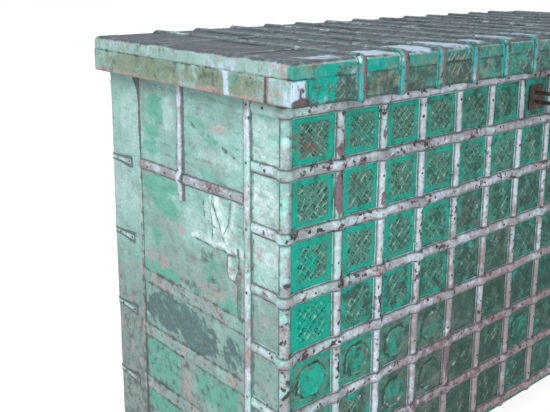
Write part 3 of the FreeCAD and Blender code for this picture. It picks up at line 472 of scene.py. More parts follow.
# Finishes
slant = (0, 38, 0)                           # lean of the strokes on pressed ornament, in degrees
worn = {"spread": 2.8, "shift": 14, "stretch": (1, 0.5, 1), "turn": (25, 0, 0)}
chipped = {"detail": 3, "shift": 21}
panelLook = {
    "coats": [(40, 148, 126), (60, 134, 114), (26, 156, 134)], "mottle": 16, "specular": 0.22, "layers": [
        coat("bright", (0, 165, 140), 30, 0.3),
        coat("ornament", (92, 134, 118), 45, 0.35, amount=0.85),
        coat("fade", (98, 106, 98), 24, 0.35, amount=0.85),
        # groove: painted shade in the recesses of the pressed ornament
        coat("groove", (42, 70, 60), 120, 0.25, sink=0.6, amount=0.95, stretch=(1, 1, 0.5), turn=slant),
        # ridge: pale paint on the raised relief, rubbed wear and painted highlight
        coat("ridge", (158, 190, 178), 130, 0.16, amount=0.85, stretch=(1, 1, 0.28), turn=slant),
        coat("rust", (118, 98, 92), 85, 0.2, spread=3.4, sink=0.3, amount=0.85),
        coat(0.12, (112, 96, 88), 150, 0.12, amount=0.8),
        # dark layer: dirt, and painted shade next to the straps
        coat("grime", (46, 78, 70), 60, 0.35, amount=0.85),
    ],
}
strapLook = {
    "coats": [(194, 206, 211), (170, 180, 185), (224, 235, 242)], "mottle": 26, "cloud": 0.4, "layers": [
        coat("mint", (164, 206, 196), 35, 0.3),
        coat("turquoise", (124, 196, 179), 55, 0.2),
        # grey: grey paint, and painted shade on the shaded flanks of straps and beads
        coat("grey", (142, 143, 148), 40, 0.35, amount=0.9),
        coat("pink", (150, 134, 134), 34, 0.3, amount=0.9),
        coat("bare", (124, 101, 110), 60, 0.14, sink=0.5),
        coat("chips", (116, 99, 102), 64, 0.1, sink=0.5, **chipped),
        coat("chips", (62, 52, 55), 64, 0.08, sink=0.4, start=0.58, **chipped),
        # foot: painted shade at the feet of the domes and along the edges of straps
        coat("foot", (70, 84, 80), 70, 0.35, spread=1.0, amount=0.85),
    ],
}
endLook = {
    "coats": [(136, 185, 174), (149, 191, 182), (126, 177, 165)], "mottle": 7, "lines": (1, 0.2, 1),
    "cloud": 0.15, "layers": [
        coat(0.4, (124, 176, 162), 100, 0.4, stretch=(1, 0.1, 1), turn=(2, 0, 0), amount=0.65),
        coat(0.16, (88, 132, 120), 170, 0.1, stretch=(1, 0.12, 1), turn=(4, 0, 0), sink=0.5, amount=0.65),
        # pale: pale paint, and painted highlight on the crease crests
        coat("pale", (186, 213, 207), 22, 0.6, spread=1.6, amount=0.85),
        coat("pale", (224, 235, 232), 70, 0.3, start=1.0, amount=0.85),
        # grey: grey paint, and painted shade towards the bottom of the walls
        coat("grey", (124, 142, 135), 30, 0.55, spread=1.8, amount=0.9),
        coat("bright", (88, 164, 142), 36, 0.4, spread=2.6, start=0.6, stretch=(1, 0.4, 1), turn=(4, 0, 0),
             amount=0.85),
        coat("pink", (166, 152, 150), 40, 0.35, amount=0.85),
        coat("bare", (96, 152, 138), 50, 0.4, start=0.64, amount=0.8, **worn),
        coat("bare", (82, 106, 106), 50, 0.34, start=0.72, sink=0.5, amount=0.95, **worn),
        coat(0.12, (122, 156, 146), 120, 0.2, amount=0.7),
        # dark layer: dirt, and painted shade along straps, strips, seams and crease lines and towards the
        # bottom
        coat("grime", (80, 92, 88), 60, 0.3, amount=0.9),
    ],
}
lidLook = {
    "coats": [(152, 186, 176), (138, 172, 162), (164, 194, 185)], "mottle": 14, "grit": 110, "relief": 1.6,
    "cloud": 0.4, "speckle": 0.7, "specular": 0.24, "layers": [
        coat("mauve", (84, 90, 97), 20, 0.3),
        coat("green", (54, 146, 130), 26, 0.3),
        coat("olive", (130, 144, 120), 40, 0.35, amount=0.9),
        coat("bright", (0, 166, 146), 40, 0.25),
        coat("ornament", (78, 92, 82), 110, 0.2, sink=0.6, amount=0.9),
        # ridge: pale strokes on the pressed relief, rubbed wear and painted highlight
        coat("ridge", (150, 172, 162), 120, 0.16, stretch=(1, 1, 0.25), turn=slant, amount=0.8),
        # pale: pale paint and bare metal, and painted sheen on the flat top
        coat("pale", (194, 217, 230), 26, 0.3),
        coat("pink", (176, 146, 140), 60, 0.3, amount=0.85),
        coat("rust", (96, 74, 76), 70, 0.25, spread=1.6, sink=0.5, amount=0.95),
        # dark layer: dirt, and painted shade along folded and lower edges
        coat("grime", (68, 84, 80), 50, 0.3, amount=0.9),
    ],
}
lidStrapLook = {
    "coats": [(108, 122, 126), (94, 106, 110), (142, 154, 160)], "mottle": 30, "layers": [
        coat("turquoise", (44, 166, 156), 60, 0.25),
        # pale: painted highlight on the straps, pale patches on the seam strips
        coat("pale", (194, 210, 214), 45, 0.25),
        coat("brown", (124, 100, 96), 35, 0.3),
        coat("chips", (76, 66, 64), 90, 0.1, sink=0.8),
        # foot: painted shade at the feet of the domes
        coat("foot", (58, 76, 74), 60, 0.4, spread=1.4, amount=0.8),
    ],
}
nailLook = {
    "coats": [(84, 72, 70), (104, 86, 80), (66, 62, 62)], "mottle": 90, "metal": 0.3,
    "layers": [coat(0.35, (150, 150, 150), 160, 0.2)],
}
forgedLook = {
    "coats": [(66, 60, 58), (92, 74, 66), (50, 48, 49)], "mottle": 32, "metal": 0.5,
    "layers": [coat(0.22, (124, 88, 70), 60, 0.2), coat(0.12, (72, 138, 120), 35, 0.12)],
}
timberLook = {
    "coats": [(122, 92, 66), (98, 72, 52), (140, 110, 80)], "mottle": 5, "grit": 60, "specular": 0.2,
    "rough": (0.6, 0.85), "layers": [
        coat(0.36, (76, 54, 40), 26, 0.2, stretch=(0.08, 1, 1), sink=0.5),
        coat(0.2, (156, 128, 98), 40, 0.25, stretch=(0.06, 1, 1)),
        coat(0.1, (58, 46, 40), 9, 0.25, amount=0.6),
    ],
}
postLook = dict(timberLook, layers=[dict(layer, stretch=(1, 1, 0.07)) for layer in timberLook["layers"]])
panelFinish = wornFinish("pressedGreenPaint", **panelLook)
strapFinish = wornFinish("flakedStrapPaint", **strapLook)
endFinish = wornFinish("mintWallPaint", **endLook)
lidFinish = wornFinish("lidPaint", **lidLook)
lidStrapFinish = wornFinish("lidStrapPaint", **lidStrapLook)
nailFinish = wornFinish("rustedNailHeads", **nailLook)
forgedFinish = wornFinish("forgedIron", **forgedLook)
timberFinish = wornFinish("oldTimber", **timberLook)
postFinish = wornFinish("oldPostTimber", **postLook)
print("finishes made")

# Front sheet: a pressed square in each cell of the strap grid, drawn in shares of the cell
panel = {
    "border": 0.338, "borderWidth": 0.012, "inner": 0.276, "tall": 0.290, "lattice": 0.150, "octagon": 0.25,
    "lineRise": 0.35, "rise": 0.0032, "dent": 0.0042, "dentSize": 11.0, "seed": 4.0,
}
octagonCells = {                              # row from the top, column from the left
    (4, 0), (4, 1), (4, 2), (4, 3), (5, 2), (5, 3), (6, 2), (5, 6), (4, 8), (5, 9), (6, 10), (4, 11),
}
plainCells = {(4, 4), (6, 7), (5, 11)}


def cellSteps():
    fine = np.linspace(-0.312, 0.312, 36)
    edge = np.array([0.325, 0.338, 0.351, 0.368, 0.41, 0.5])
    return np.concatenate([-edge[::-1], fine, edge])


def ridgeLine(distance, wide):
    return np.exp(-((distance / wide) ** 2))


# Crossed bars with a four-petalled flower in each opening
def latticeWork(a, b):
    p, q = a + b, a - b
    fp, fq = p - np.floor(p) - 0.5, q - np.floor(q) - 0.5
    bars = ridgeLine(0.5 - np.maximum(abs(fp), abs(fq)), 0.15)
    radius, turn = np.hypot(fp, fq), np.arctan2(fq, fp)
    petals = near(0.2, 0.34, radius / (0.75 + 0.25 * np.cos(4 * turn)))
    return np.maximum(bars, 0.55 * petals)


# Kinds: 0 lattice, 1 octagon, 2 plain
# The groove mask is painted shade in the recesses; the ridge mask is pale paint on raised lines, rubbed wear
# and painted highlight
def panelRelief(kind, u, v):
    reach = np.maximum(abs(u), abs(v))
    line = ridgeLine(reach - panel["border"], panel["borderWidth"])
    inside = near(-0.012, 0.012, np.maximum(abs(u) - panel["inner"], abs(v) - panel["tall"]))
    if kind == 0:
        bentU, bentV = u + 0.010 * np.sin(17 * v + 1), v + 0.010 * np.sin(14 * u - 8 * v)
        ornament = latticeWork(bentU / panel["lattice"], bentV / panel["lattice"]) * inside
        groove = 0.7 * inside * np.clip(1 - 1.5 * ornament, 0, 1)
    elif kind == 1:
        wobble = 0.010 * np.sin(21 * u + 9 * v) + 0.009 * np.sin(41 * v - 17 * u)
        cut = np.maximum(reach, (abs(u) + abs(v)) * 0.69) + wobble - panel["octagon"]
        ornament = ridgeLine(cut, 0.026) * 1.4
        inside = smooth(0, 0.03, cut) * near(0.3, 0.34, reach)
        groove = 0.95 * ridgeLine(cut - 0.03, 0.016)
    else:
        ornament = 0.15 * np.sin(9 * u) * np.cos(7 * v) * inside
        inside, groove = 0 * inside, 0 * inside
    ridge = np.maximum(line * 0.16, ornament * (0.4 if kind == 0 else 0.25))
    return panel["lineRise"] * line + ornament, {"ornament": inside * 0.8, "groove": groove, "ridge": ridge}


def panelMaster(kind):
    u, v = np.meshgrid(cellSteps(), cellSteps(), indexing="ij")
    height, masks = panelRelief(kind, u, v)
    obj = newPiece(f"panelMaster{kind}", *dentedSheet(grid(u, -height, v), grid(u, 0.3, v)))
    unseen = np.zeros(len(obj.data.vertices) - u.size)
    brush(obj, **{name: np.append(values.ravel(), unseen) for name, values in masks.items()})
    return obj


def panelTree(masters):
    tree, given, end = newTree("panelGrid", Dent="Float", DentSize="Float", Seed="Float", Finish="Material")
    join = tree.nodes.new("GeometryNodeJoinGeometry")
    for kind, master in enumerate(masters):
        shape = node(tree, "GeometryNodeObjectInfo", Object=master).outputs["Geometry"]
        chosen = node(tree, "FunctionNodeCompare", {"data_type": "INT", "operation": "EQUAL"})
        feed(tree, chosen.inputs[2], named(tree, "kind", "INT"))
        feed(tree, chosen.inputs[3], kind)
        cells = node(
            tree, "GeometryNodeInstanceOnPoints", Points=given["Geometry"], Selection=chosen.outputs[0],
            Instance=shape, Scale=named(tree, "cellSize", "FLOAT_VECTOR"),
        )
        tree.links.new(cells.outputs[0], join.inputs[0])
    whole = node(tree, "GeometryNodeRealizeInstances", Geometry=join.outputs[0]).outputs[0]
    whole = dented(tree, whole, given["Dent"], given["DentSize"], given["Seed"])
    closeTree(tree, whole, end, given["Finish"])
    return tree


def frontPanels(name, columns, tree):
    centres, sizes, kinds = [], [], []
    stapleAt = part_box("staple")[0] + Vector((0.02, 0, 0.02))     # the square behind the staple is plain
    for column in columns:
        left, right = columnEdges[column], columnEdges[column + 1]
        for row, (upper, lower) in enumerate(zip(rowZs[:-1], rowZs[1:])):
            behind = left < stapleAt.x < right and lower < stapleAt.z < upper
            plain = behind or (row, column) in plainCells
            kinds.append(2 if plain else 1 if (row, column) in octagonCells else 0)
            centres.append(((left + right) / 2, frontFace, (upper + lower) / 2))
            sizes.append((right - left, panel["rise"], upper - lower))
    carrier = newObject(name, centres, cellSize=sizes, kind=kinds)
    values = {
        "Dent": panel["dent"], "DentSize": panel["dentSize"], "Seed": panel["seed"], "Finish": panelFinish,
    }
    return bake(carrier, tree, values)


# Where the panels are rusty or bright, from the left end and from the ground
panelSpots = {
    "rust": [
        spot(0.030, 0.868, 0.022, 0.018), spot(0.058, 0.852, 0.02, 0.012),
        spot(0.060, 0.836, 0.03, 0.008, 0.7), spot(0.098, 0.752, 0.022, 0.012, 0.6),
        spot(0.200, 0.790, 0.03, 0.02, 0.45), spot(0.165, 0.850, 0.02, 0.02, 0.5),
    ],
    "bright": [
        spot(0.070, 0.390, 0.03, 0.035), spot(0.310, 0.402, 0.025, 0.04), spot(0.320, 0.270, 0.02, 0.045),
        tile(0.066, 0.512, 0.05, 0.052), spot(0.05, 0.64, 0.03, 0.05, 0.8),
    ],
}


def paintPanels(obj):
    points = pointsOf(obj)
    x, _, z = points.T
    cells = len(columnEdges) - 1, len(rowZs) - 1
    column = np.clip(np.searchsorted(columnEdges, x) - 1, 0, cells[0] - 1)
    row = np.clip(np.searchsorted(-rowZs, -z) - 1, 0, cells[1] - 1)
    left, right = columnEdges[column], columnEdges[column + 1]
    u = abs((x - left) / (right - left) - 0.5)
    v = abs((rowZs[row] - z) / (rowZs[row] - rowZs[row + 1]) - 0.5)
    reach = np.maximum(u, v)
    luck = np.random.default_rng(21).uniform(0, 1, cells)[column, row]
    rust, shine = (blots(x - endFace, z, panelSpots[name]) for name in ("rust", "bright"))
    lively = 0.2 + 0.34 * np.clip(1 - column / 6, 0, 1) * (row < 4) + 0.25 * luck
    bright = smooth(0.27, 0.3, reach) * lively + 0.12 * luck + 0.3 * ripple(points, 0.045, 2)
    beyond, down = np.clip(column - 1, 0, 3), np.clip(row - 3, 0, 3)
    far = 0.09 * beyond + 0.13 * down + 0.16 * np.clip(row + column - 5, 0, 3) + 0.14 * (row > 3)
    # darker next to the straps as painted shade, with blotches of dirt
    grime = 0.6 * smooth(0.375, 0.42, reach) + 0.12 * ripple(points, 0.2, 3) + 0.16 * ripple(points, 0.05, 4)
    brush(
        obj, bright=np.maximum(bright, shine), rust=0.45 * rust,
        fade=np.where(column < 6, far, 0.25 + 0.1 * row / 2) * (0.55 + 0.6 * luck),
        # darker towards the right and the bottom
        grime=grime + 0.13 * beyond + 0.1 * np.clip(row - 1, 0, 3) * (column > 0),
        ornament=maskValues(obj, "ornament") * (1 - 0.75 * shine) * (0.7 + 0.4 * luck),
    )


masters = [panelMaster(kind) for kind in range(3)]
panelGrid = panelTree(masters)
panelRuns = {"Left": range(0, 5), "Middle": range(5, 9), "Right": range(9, 13)}
for part, columns in panelRuns.items():
    piece = frontPanels(f"frontPanels{part}", columns, panelGrid)
    paintPanels(piece)
    finishPiece(piece, "chest", "painted_sheet", panelFinish, "front_sheet")
for master in masters:
    bpy.data.objects.remove(master)


# Plain edges of the front sheet, above the top row strap and below the lowest one
def frontEdges():
    parts = []
    for low, high in ((rowZs[0], wallTop), (wallFoot, rowZs[-1])):
        xs, zs = np.linspace(endFace + skin, -endFace - skin, 120), np.linspace(low, high, 4)
        x, z = np.meshgrid(xs, zs, indexing="ij")
        parts.append(slab(grid(x, frontFace, z), grid(x, frontPlane, z)))
    piece = newPiece("frontSheetEdges", *joined(parts))
    brush(piece, grime=0.4)
    finishPiece(piece, "chest", "painted_sheet", panelFinish)


frontEdges()
print("front panels made")

# Row straps and uprights; a row strap rises over the uprights and bends round the corner beads
rowLook = {
    "crown": 0.0057, "width": strapWidth, "dent": 0.0022, "dentSize": 30.0, "seed": 1.0, "wander": 0.0016,
}
uprightLook = dict(rowLook, crown=0.006, seed=2.0, wander=0.0011)
rowPath = {
    "centre": 0.00338, "radius": 0.0115, "start": 0.022,     # round the corner bead
    "rise": 0.0062, "foot": 0.0170, "full": 0.0050,          # over an upright
    "tail": 0.0902,                                          # on the end wall, back from the front sheet
}


def bumpOver(distance):
    return rowPath["rise"] * near(rowPath["full"], rowPath["foot"], abs(distance))


def rowRun(z, seed):
    centre = (endFace + rowPath["centre"], frontFace + rowPath["centre"])
    tail = stepped([(endFace, frontFace + rowPath["tail"]), (endFace, frontFace + rowPath["start"])], 0.006)
    arc = arcPoints(centre, rowPath["radius"], 165, 285, 11)
    xs = np.arange(endFace + rowPath["start"] + 0.004, 0, 0.0055)
    front = np.stack([xs, frontFace - bumpOver(offNearest(xs, uprightXs))], axis=1)
    half = np.concatenate([tail, arc, front])
    plan = np.concatenate([half, half[::-1] * (-1, 1)])
    ways = tangents(plan)
    level = z + rowLook["wander"] * ripple(grid(plan[:, 0], plan[:, 1], z), 0.6, seed)
    return grid(plan[:, 0], plan[:, 1], level), grid(ways[:, 1], -ways[:, 0], 0), np.ones(len(plan))


def uprightRun(x, y, low, high, way, seed, over=None):
    zs = np.linspace(low, high, int((high - low) / 0.008))
    points = grid(x, y, zs)
    points = points + uprightLook["wander"] * ripple(points, 0.5, seed)[:, None] * (way[1], -way[0], 0)
    if over is not None:
        points = points + bumpOver(zs - over)[:, None] * way
    return points, np.tile(way, (len(zs), 1)), np.ones(len(zs))


def paintStraps(obj, seed):
    points = pointsOf(obj)
    fromLeft, z = points[:, 0] - endFace, points[:, 2]
    low = smooth(0.72, 0.3, z)
    far = smooth(0.25, 0.6, fromLeft) * smooth(1.3, 0.9, fromLeft)
    pink = 0.12 + 0.55 * far * low + 0.12 * low + 0.10 * far + 0.14 * ripple(points, 0.2, seed + 2)
    onEnd = points[:, 1] > frontFace + 0.006
    brush(
        obj, mint=0.55 * smooth(0.34, 0.05, fromLeft) + 0.12 * ripple(points, 0.15, seed + 1),
        pink=np.where(onEnd, 0.3 + 0.15 * ripple(points, 0.09, seed), pink),
    )
    return points, fromLeft, z


# Bare stretches and clusters of chips on the straps
rowChips = [
    spot(0.055, 0.814, 0.055, 0.009, 0.2), spot(0.190, 0.806, 0.03, 0.008, 0.2),
    spot(0.060, 0.694, 0.055, 0.009, 0.22), spot(0.040, 0.570, 0.03, 0.014, 0.14),
    spot(0.160, 0.575, 0.03, 0.014, 0.22), spot(0.360, 0.810, 0.05, 0.014, 0.14),
    spot(0.280, 0.574, 0.03, 0.014, 0.18), spot(0.07, 0.45, 0.06, 0.014, 0.12),
]
rowRust = [spot(0.195, 0.803, 0.030, 0.006, 0.5)]
uprightBare = [
    spot(0.134, 0.836, 0.009, 0.016), spot(0.134, 0.750, 0.011, 0.046),
    spot(0.258, 0.855, 0.008, 0.012, 0.8), spot(0.258, 0.720, 0.007, 0.016, 0.7),
    spot(0.501, 0.30, 0.012, 0.06, 0.8),
]


def rowStraps():
    piece = sweep("rowStraps", [rowRun(z, 40 + i) for i, z in enumerate(rowZs)], rowLook, strapFinish)
    points, fromLeft, z = paintStraps(piece, 60)
    y = points[:, 1]
    onFront = y < frontFace + 0.004
    sunk = (z > rowZs[0] - strapWidth) & (y > frontFace + 0.012)     # painted over with the wall
    across = offNearest(z, rowZs) / strapWidth
    rusty = smooth(0.47, 0.34, z) * smooth(0.22, 0.4, fromLeft) * smooth(1.5, 1.0, fromLeft)
    rusty = np.maximum(blots(fromLeft, z, rowRust), 0.42 * rusty + 0.1 * ripple(points, 0.12, 64))
    chips = 0.21 + 0.13 * ripple(points, 0.09, 60) + np.where(onFront, blots(fromLeft, z, rowChips), -0.08)
    grey = np.where(onFront, 0.47, 0.05) + 0.16 * ripple(points, 0.14, 65) - 0.1 * (z > 0.9)
    # grey on the lower flank is painted shade
    grey += np.where(onFront, 0.25, 0.75) * smooth(0.05, -0.35, across)
    corner = (abs(points[:, 0]) > -endFace - 0.012) & (y < frontFace + 0.02)
    brush(
        piece, bare=np.where(onFront, rusty, 0), chips=np.where(sunk, 0, chips), grey=np.where(sunk, 0, grey),
        foot=maskValues(piece, "foot") * np.where(sunk, 0.4, 1), turquoise=0.42 * corner,
        mint=np.where(sunk, 1.3, maskValues(piece, "mint")),
        pink=np.where(sunk, 0, maskValues(piece, "pink")),
    )
    finishPiece(piece, "chest", "strap_iron", strapFinish, "front_row_straps")


def frontUprights():
    low, high, out = uprightLow.z, uprightHigh.z, (0, -1, 0)
    runs = [uprightRun(x, frontFace, low, high, out, 80 + i) for i, x in enumerate(uprightXs)]
    piece = sweep("frontUprights", runs, uprightLook, strapFinish)
    points, fromLeft, z = paintStraps(piece, 70)
    across = offNearest(points[:, 0], uprightXs) / strapWidth
    # grey on the right flank is painted shade
    grey = smooth(-0.05, 0.25, across) * (1 - 0.6 * smooth(0.62, 0.52, z) * (fromLeft < 0.2))
    brush(
        piece, bare=blots(fromLeft, z, uprightBare), grey=0.66 * grey + 0.08 * ripple(points, 0.1, 75),
        chips=0.13 + 0.14 * ripple(points, 0.09, 70) + 0.16 * smooth(-0.1, 0.2, across),
    )
    finishPiece(piece, "chest", "strap_iron", strapFinish, "front_upright_straps")


rowStraps()
frontUprights()

# Corner beads: a round bar of sheet that laps the front and the end
bead = {
    "radius": 0.0111, "centre": rowPath["centre"], "steps": 26, "crown": 1.0, "width": 1.0, "dent": 0.002,
    "dentSize": 24.0, "seed": 5.0,
}
beadFlakes = [spot(0, 0.60, 1, 0.05, 0.4), spot(0, 0.42, 1, 0.09, 0.42), spot(0, 0.27, 1, 0.10, 0.4)]
diagonal = math.sqrt(0.5)


def beadSection():
    lean = math.degrees(math.asin(bead["centre"] / bead["radius"]))
    plan = arcPoints((bead["centre"], bead["centre"]), bead["radius"], -lean, -270 + lean, bead["steps"])
    plan = np.concatenate([[(0.001, 0.001)], plan])
    local = np.column_stack([-diagonal * (plan[:, 0] + plan[:, 1]), diagonal * (plan[:, 0] - plan[:, 1])])
    # foot: painted shade along both edges of the bead, where it meets the sheets
    foot = [1.0, 1.0, 0.7] + [0.0] * (bead["steps"] - 4) + [0.7, 1.0]
    return sectionObject("beadSection", local, foot)


def cornerBead(side, section):
    low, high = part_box("left_corner_bead")
    zs = np.linspace(low.z, high.z, 130)
    outward = np.tile((-side * diagonal, -diagonal, 0), (len(zs), 1))
    run = (grid(side * endFace, frontFace, zs), outward, np.ones(len(zs)))
    look = dict(bead, seed=bead["seed"] + side)
    piece = sweep(f"{sideName[side]}Bead", [run], look, strapFinish, section)
    points = pointsOf(piece)
    x, y, z = points.T
    flakes = blots(0 * z, z, beadFlakes)
    turned = (side * x - endFace - y + frontFace) / (bead["radius"] + bead["centre"])
    brush(
        piece, turquoise=0.44 + 0.22 * ripple(points, 0.12, 11) - 0.4 * flakes,
        mint=0.75 - 0.2 * smooth(0.5, 0.4, z), pink=0.18 + 0.34 * smooth(0.6, 0.42, z),
        chips=0.15 + 0.12 * ripple(points, 0.07, 12) + flakes * 0.5,
        # grey on the front flank is painted shade over grey paint; foot at the end edge is a painted shadow
        # line
        grey=0.4 + 0.3 * smooth(0.5, 0.85, turned) + 0.15 * ripple(points, 0.06, 13),
        foot=np.maximum(0.8 * maskValues(piece, "foot"), smooth(-0.78, -0.95, turned)),
    )
    finishPiece(piece, "chest", "strap_iron", strapFinish, f"{sideName[side]}_corner_bead")


beadShape = beadSection()
for side in sideName:
    cornerBead(side, beadShape)
bpy.data.objects.remove(beadShape)
print("front straps made")

# End walls: sheet, corner sheet, straps and strips, the right end mirrored from the left
endWall = {
    "step": 0.0029, "dent": 0.0011, "scratch": 0.0004, "bulge": 0.0018, "depth": backPlane - frontPlane,
}
endStrip = {
    "levels": (0.477, 0.3425, 0.208), "half": 0.015, "upright": 0.3135, "uprightHalf": 0.027,
    "tall": (0.052, 0.06), "drop": 0.006, "wander": 0.0012, "dent": 0.0007,
}
crossStrap = {"crown": 0.0056, "wander": 0.001}
cornerSheet = {"wobble": 0.0022, "dent": 0.0006, "clip": (0.024, 0.048), "return": 0.062}
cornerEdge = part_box("left_corner_sheet")[0].y - frontPlane
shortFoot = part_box("left_end_strap_short")[0].z
endSpots = {
    "bright": [
        spot(0.420, 0.870, 0.032, 0.040, 0.75), spot(0.430, 0.826, 0.03, 0.03, 0.7),
        spot(0.443, 0.783, 0.035, 0.018, 0.7), spot(0.400, 0.672, 0.075, 0.028, turn=28),
        spot(0.440, 0.700, 0.04, 0.02, 0.7), spot(0.40, 0.71, 0.07, 0.02, 0.9),
        spot(0.225, 0.565, 0.035, 0.03, 0.7), spot(0.248, 0.855, 0.055, 0.018, 0.65, 22),
        spot(0.205, 0.830, 0.05, 0.016, 0.6, 22), spot(0.220, 0.760, 0.06, 0.012, 0.6, 10),
        spot(0.060, 0.905, 0.035, 0.03, 0.5), spot(0.050, 0.850, 0.05, 0.05, 0.3),
        spot(0.428, 0.590, 0.018, 0.03, 0.8), spot(0.060, 0.40, 0.03, 0.03, 0.45),
        spot(0.045, 0.46, 0.012, 0.08, 0.5), tile(0.413, 0.507, 0.068, 0.013, soft=0.08),
        tile(0.212, 0.507, 0.085, 0.012, amount=0.9, soft=0.08),
        tile(0.418, 0.283, 0.064, 0.056, soft=0.06),
        tile(0.208, 0.300, 0.070, 0.040, amount=0.9, soft=0.08), tile(0.400, 0.170, 0.08, 0.022, soft=0.1),
    ],
    "pale": [
        spot(0.200, 0.680, 0.05, 0.05, 0.6), spot(0.280, 0.655, 0.04, 0.04, 0.55),
        spot(0.205, 0.65, 0.014, 0.03, 0.8, 20), spot(0.055, 0.70, 0.06, 0.10, 0.82),
        spot(0.190, 0.800, 0.07, 0.02, 0.6), spot(0.060, 0.86, 0.06, 0.10, 0.66),
        spot(0.148, 0.67, 0.012, 0.05, 0.6), spot(0.055, 0.58, 0.06, 0.06, 0.55),
        spot(0.370, 0.86, 0.02, 0.05, 0.6),
    ],
    "grey": [
        spot(0.300, 0.540, 0.19, 0.05, 0.75), spot(0.230, 0.780, 0.09, 0.02, 0.5),
        spot(0.155, 0.60, 0.02, 0.06, 0.6), spot(0.40, 0.61, 0.06, 0.04, 0.55),
        spot(0.060, 0.53, 0.05, 0.05, 0.75), spot(0.190, 0.888, 0.09, 0.02, 0.45),
        spot(0.300, 0.42, 0.25, 0.10, 0.6), spot(0.060, 0.37, 0.05, 0.2, 0.6),
        spot(0.300, 0.13, 0.3, 0.09, 0.55),
    ],
    "pink": [
        spot(0.186, 0.863, 0.018, 0.012, 0.8), spot(0.06, 0.645, 0.03, 0.02, 0.3),
        spot(0.365, 0.905, 0.03, 0.03, 0.3), spot(0.130, 0.36, 0.03, 0.02, 0.6),
        spot(0.430, 0.53, 0.06, 0.02, 0.5), spot(0.360, 0.625, 0.05, 0.015, 0.4),
        spot(0.22, 0.515, 0.06, 0.02, 0.55), spot(0.05, 0.50, 0.05, 0.03, 0.3),
        spot(0.05, 0.38, 0.05, 0.03, 0.3), spot(0.14, 0.60, 0.02, 0.07, 0.45),
    ],
    "bare": [
        spot(0.390, 0.415, 0.085, 0.042, turn=-10, soft=0.3), spot(0.280, 0.402, 0.075, 0.046, turn=8),
        spot(0.155, 0.402, 0.028, 0.034, 0.75, soft=0.4),
    ],
    "grime": [
        spot(0.232, 0.585, 0.026, 0.022, 0.46), spot(0.215, 0.535, 0.035, 0.016, 0.4),
        spot(0.30, 0.51, 0.035, 0.012, 0.35), spot(0.128, 0.545, 0.005, 0.06, 0.5),
        spot(0.113, 0.42, 0.004, 0.06, 0.7),
    ],
}

# Creases knocked into the left end: the metal stands up on the front side of each line
creases = [                                   # points as (u, z)
    {"along": [(0.219, 0.722), (0.203, 0.684), (0.183, 0.647), (0.175, 0.641)],
     "wide": 0.034, "rise": 0.0070},
    {"along": [(0.226, 0.712), (0.218, 0.673), (0.214, 0.629)], "wide": 0.020, "rise": 0.0050},
    {"along": [(0.158, 0.723), (0.165, 0.680), (0.171, 0.656)], "wide": 0.036, "rise": 0.0034},
    {"along": [(0.268, 0.622), (0.207, 0.615), (0.176, 0.618), (0.130, 0.616)],
     "wide": 0.034, "rise": 0.0046},
    {"along": [(0.131, 0.634), (0.133, 0.600), (0.137, 0.561), (0.136, 0.503)], "wide": 0.014, "rise": 0.0012,
     "line": 0.0058},
    {"along": [(0.169, 0.616), (0.170, 0.580), (0.162, 0.563), (0.140, 0.562)],
     "wide": 0.030, "rise": 0.0064},
    {"along": [(0.249, 0.710), (0.242, 0.674)], "wide": 0.018, "rise": 0.0016},
]
lap = {"along": [(0.132, 0.811), (0.296, 0.868)], "rise": 0.0012}      # a lapped edge higher up
lapArea, bulge = tile(0.214, 0.86, 0.10, 0.055, soft=0.2), spot(0.30, 0.64, 0.05, 0.07, soft=0.6)


# Distance from a chain of points, and which side of it
def besideLine(u, z, along):
    least, side = np.full(u.shape, 9.0), np.zeros(u.shape)
    for (u0, z0), (u1, z1) in zip(along[:-1], along[1:]):
        du, dz = u1 - u0, z1 - z0
        share = np.clip(((u - u0) * du + (z - z0) * dz) / (du * du + dz * dz), 0, 1)
        offU, offZ = u - u0 - share * du, z - z0 - share * dz
        away = np.hypot(offU, offZ)
        side = np.where(away < least, np.sign(du * offZ - dz * offU), side)
        least = np.minimum(least, away)
    return least, side


def creased(u, z):
    lift, valley, crest = (np.zeros(u.shape) for _ in range(3))
    for crease in creases:
        away, side = besideLine(u, z, crease["along"])
        share = away / crease["wide"]
        raised = (side < 0) * smooth(0, 0.3, share) * near(0.3, 1, share)
        lift = np.maximum(lift, crease["rise"] * raised)
        crest = np.maximum(crest, raised * min(1, crease["rise"] / 0.005))
        valley = np.maximum(valley, near(0.0008, crease.get("line", 0.0038), away))
    return lift, valley, crest


# How far the end sheet stands off its plane
def endRelief(u, z, seed):
    points = grid(0, u, z)
    lift = endWall["dent"] * (ripple(points, 0.16, seed) + 0.35 * ripple(points, 0.035, seed + 1))
    lift += endWall["scratch"] * ripple(points * (1, 0.25, 1), 0.02, seed + 2)
    away, side = besideLine(u, z, lap["along"])
    lapped = (side > 0) * smooth(0, 0.004, away) * lapArea(u, z)
    return lift + lap["rise"] * lapped + endWall["bulge"] * bulge(u, z)


# One where the sheet lies flat under straps and strips
def nearStraps(u, z):
    flat = smooth(cornerEdge - 0.03, cornerEdge - 0.01, u)
    straps = (frontStrapU, 0.016, 0), (0, 0.024, 0), (shortStrapU, 0.016, shortFoot - 0.011)
    for centre, half, foot in straps:
        flat = np.maximum(flat, near(half, half + 0.02, abs(u - centre)) * (z > foot))
    return np.maximum(flat, near(0.016, 0.03, abs(offNearest(z, (crossZ, *endStrip["levels"])))))


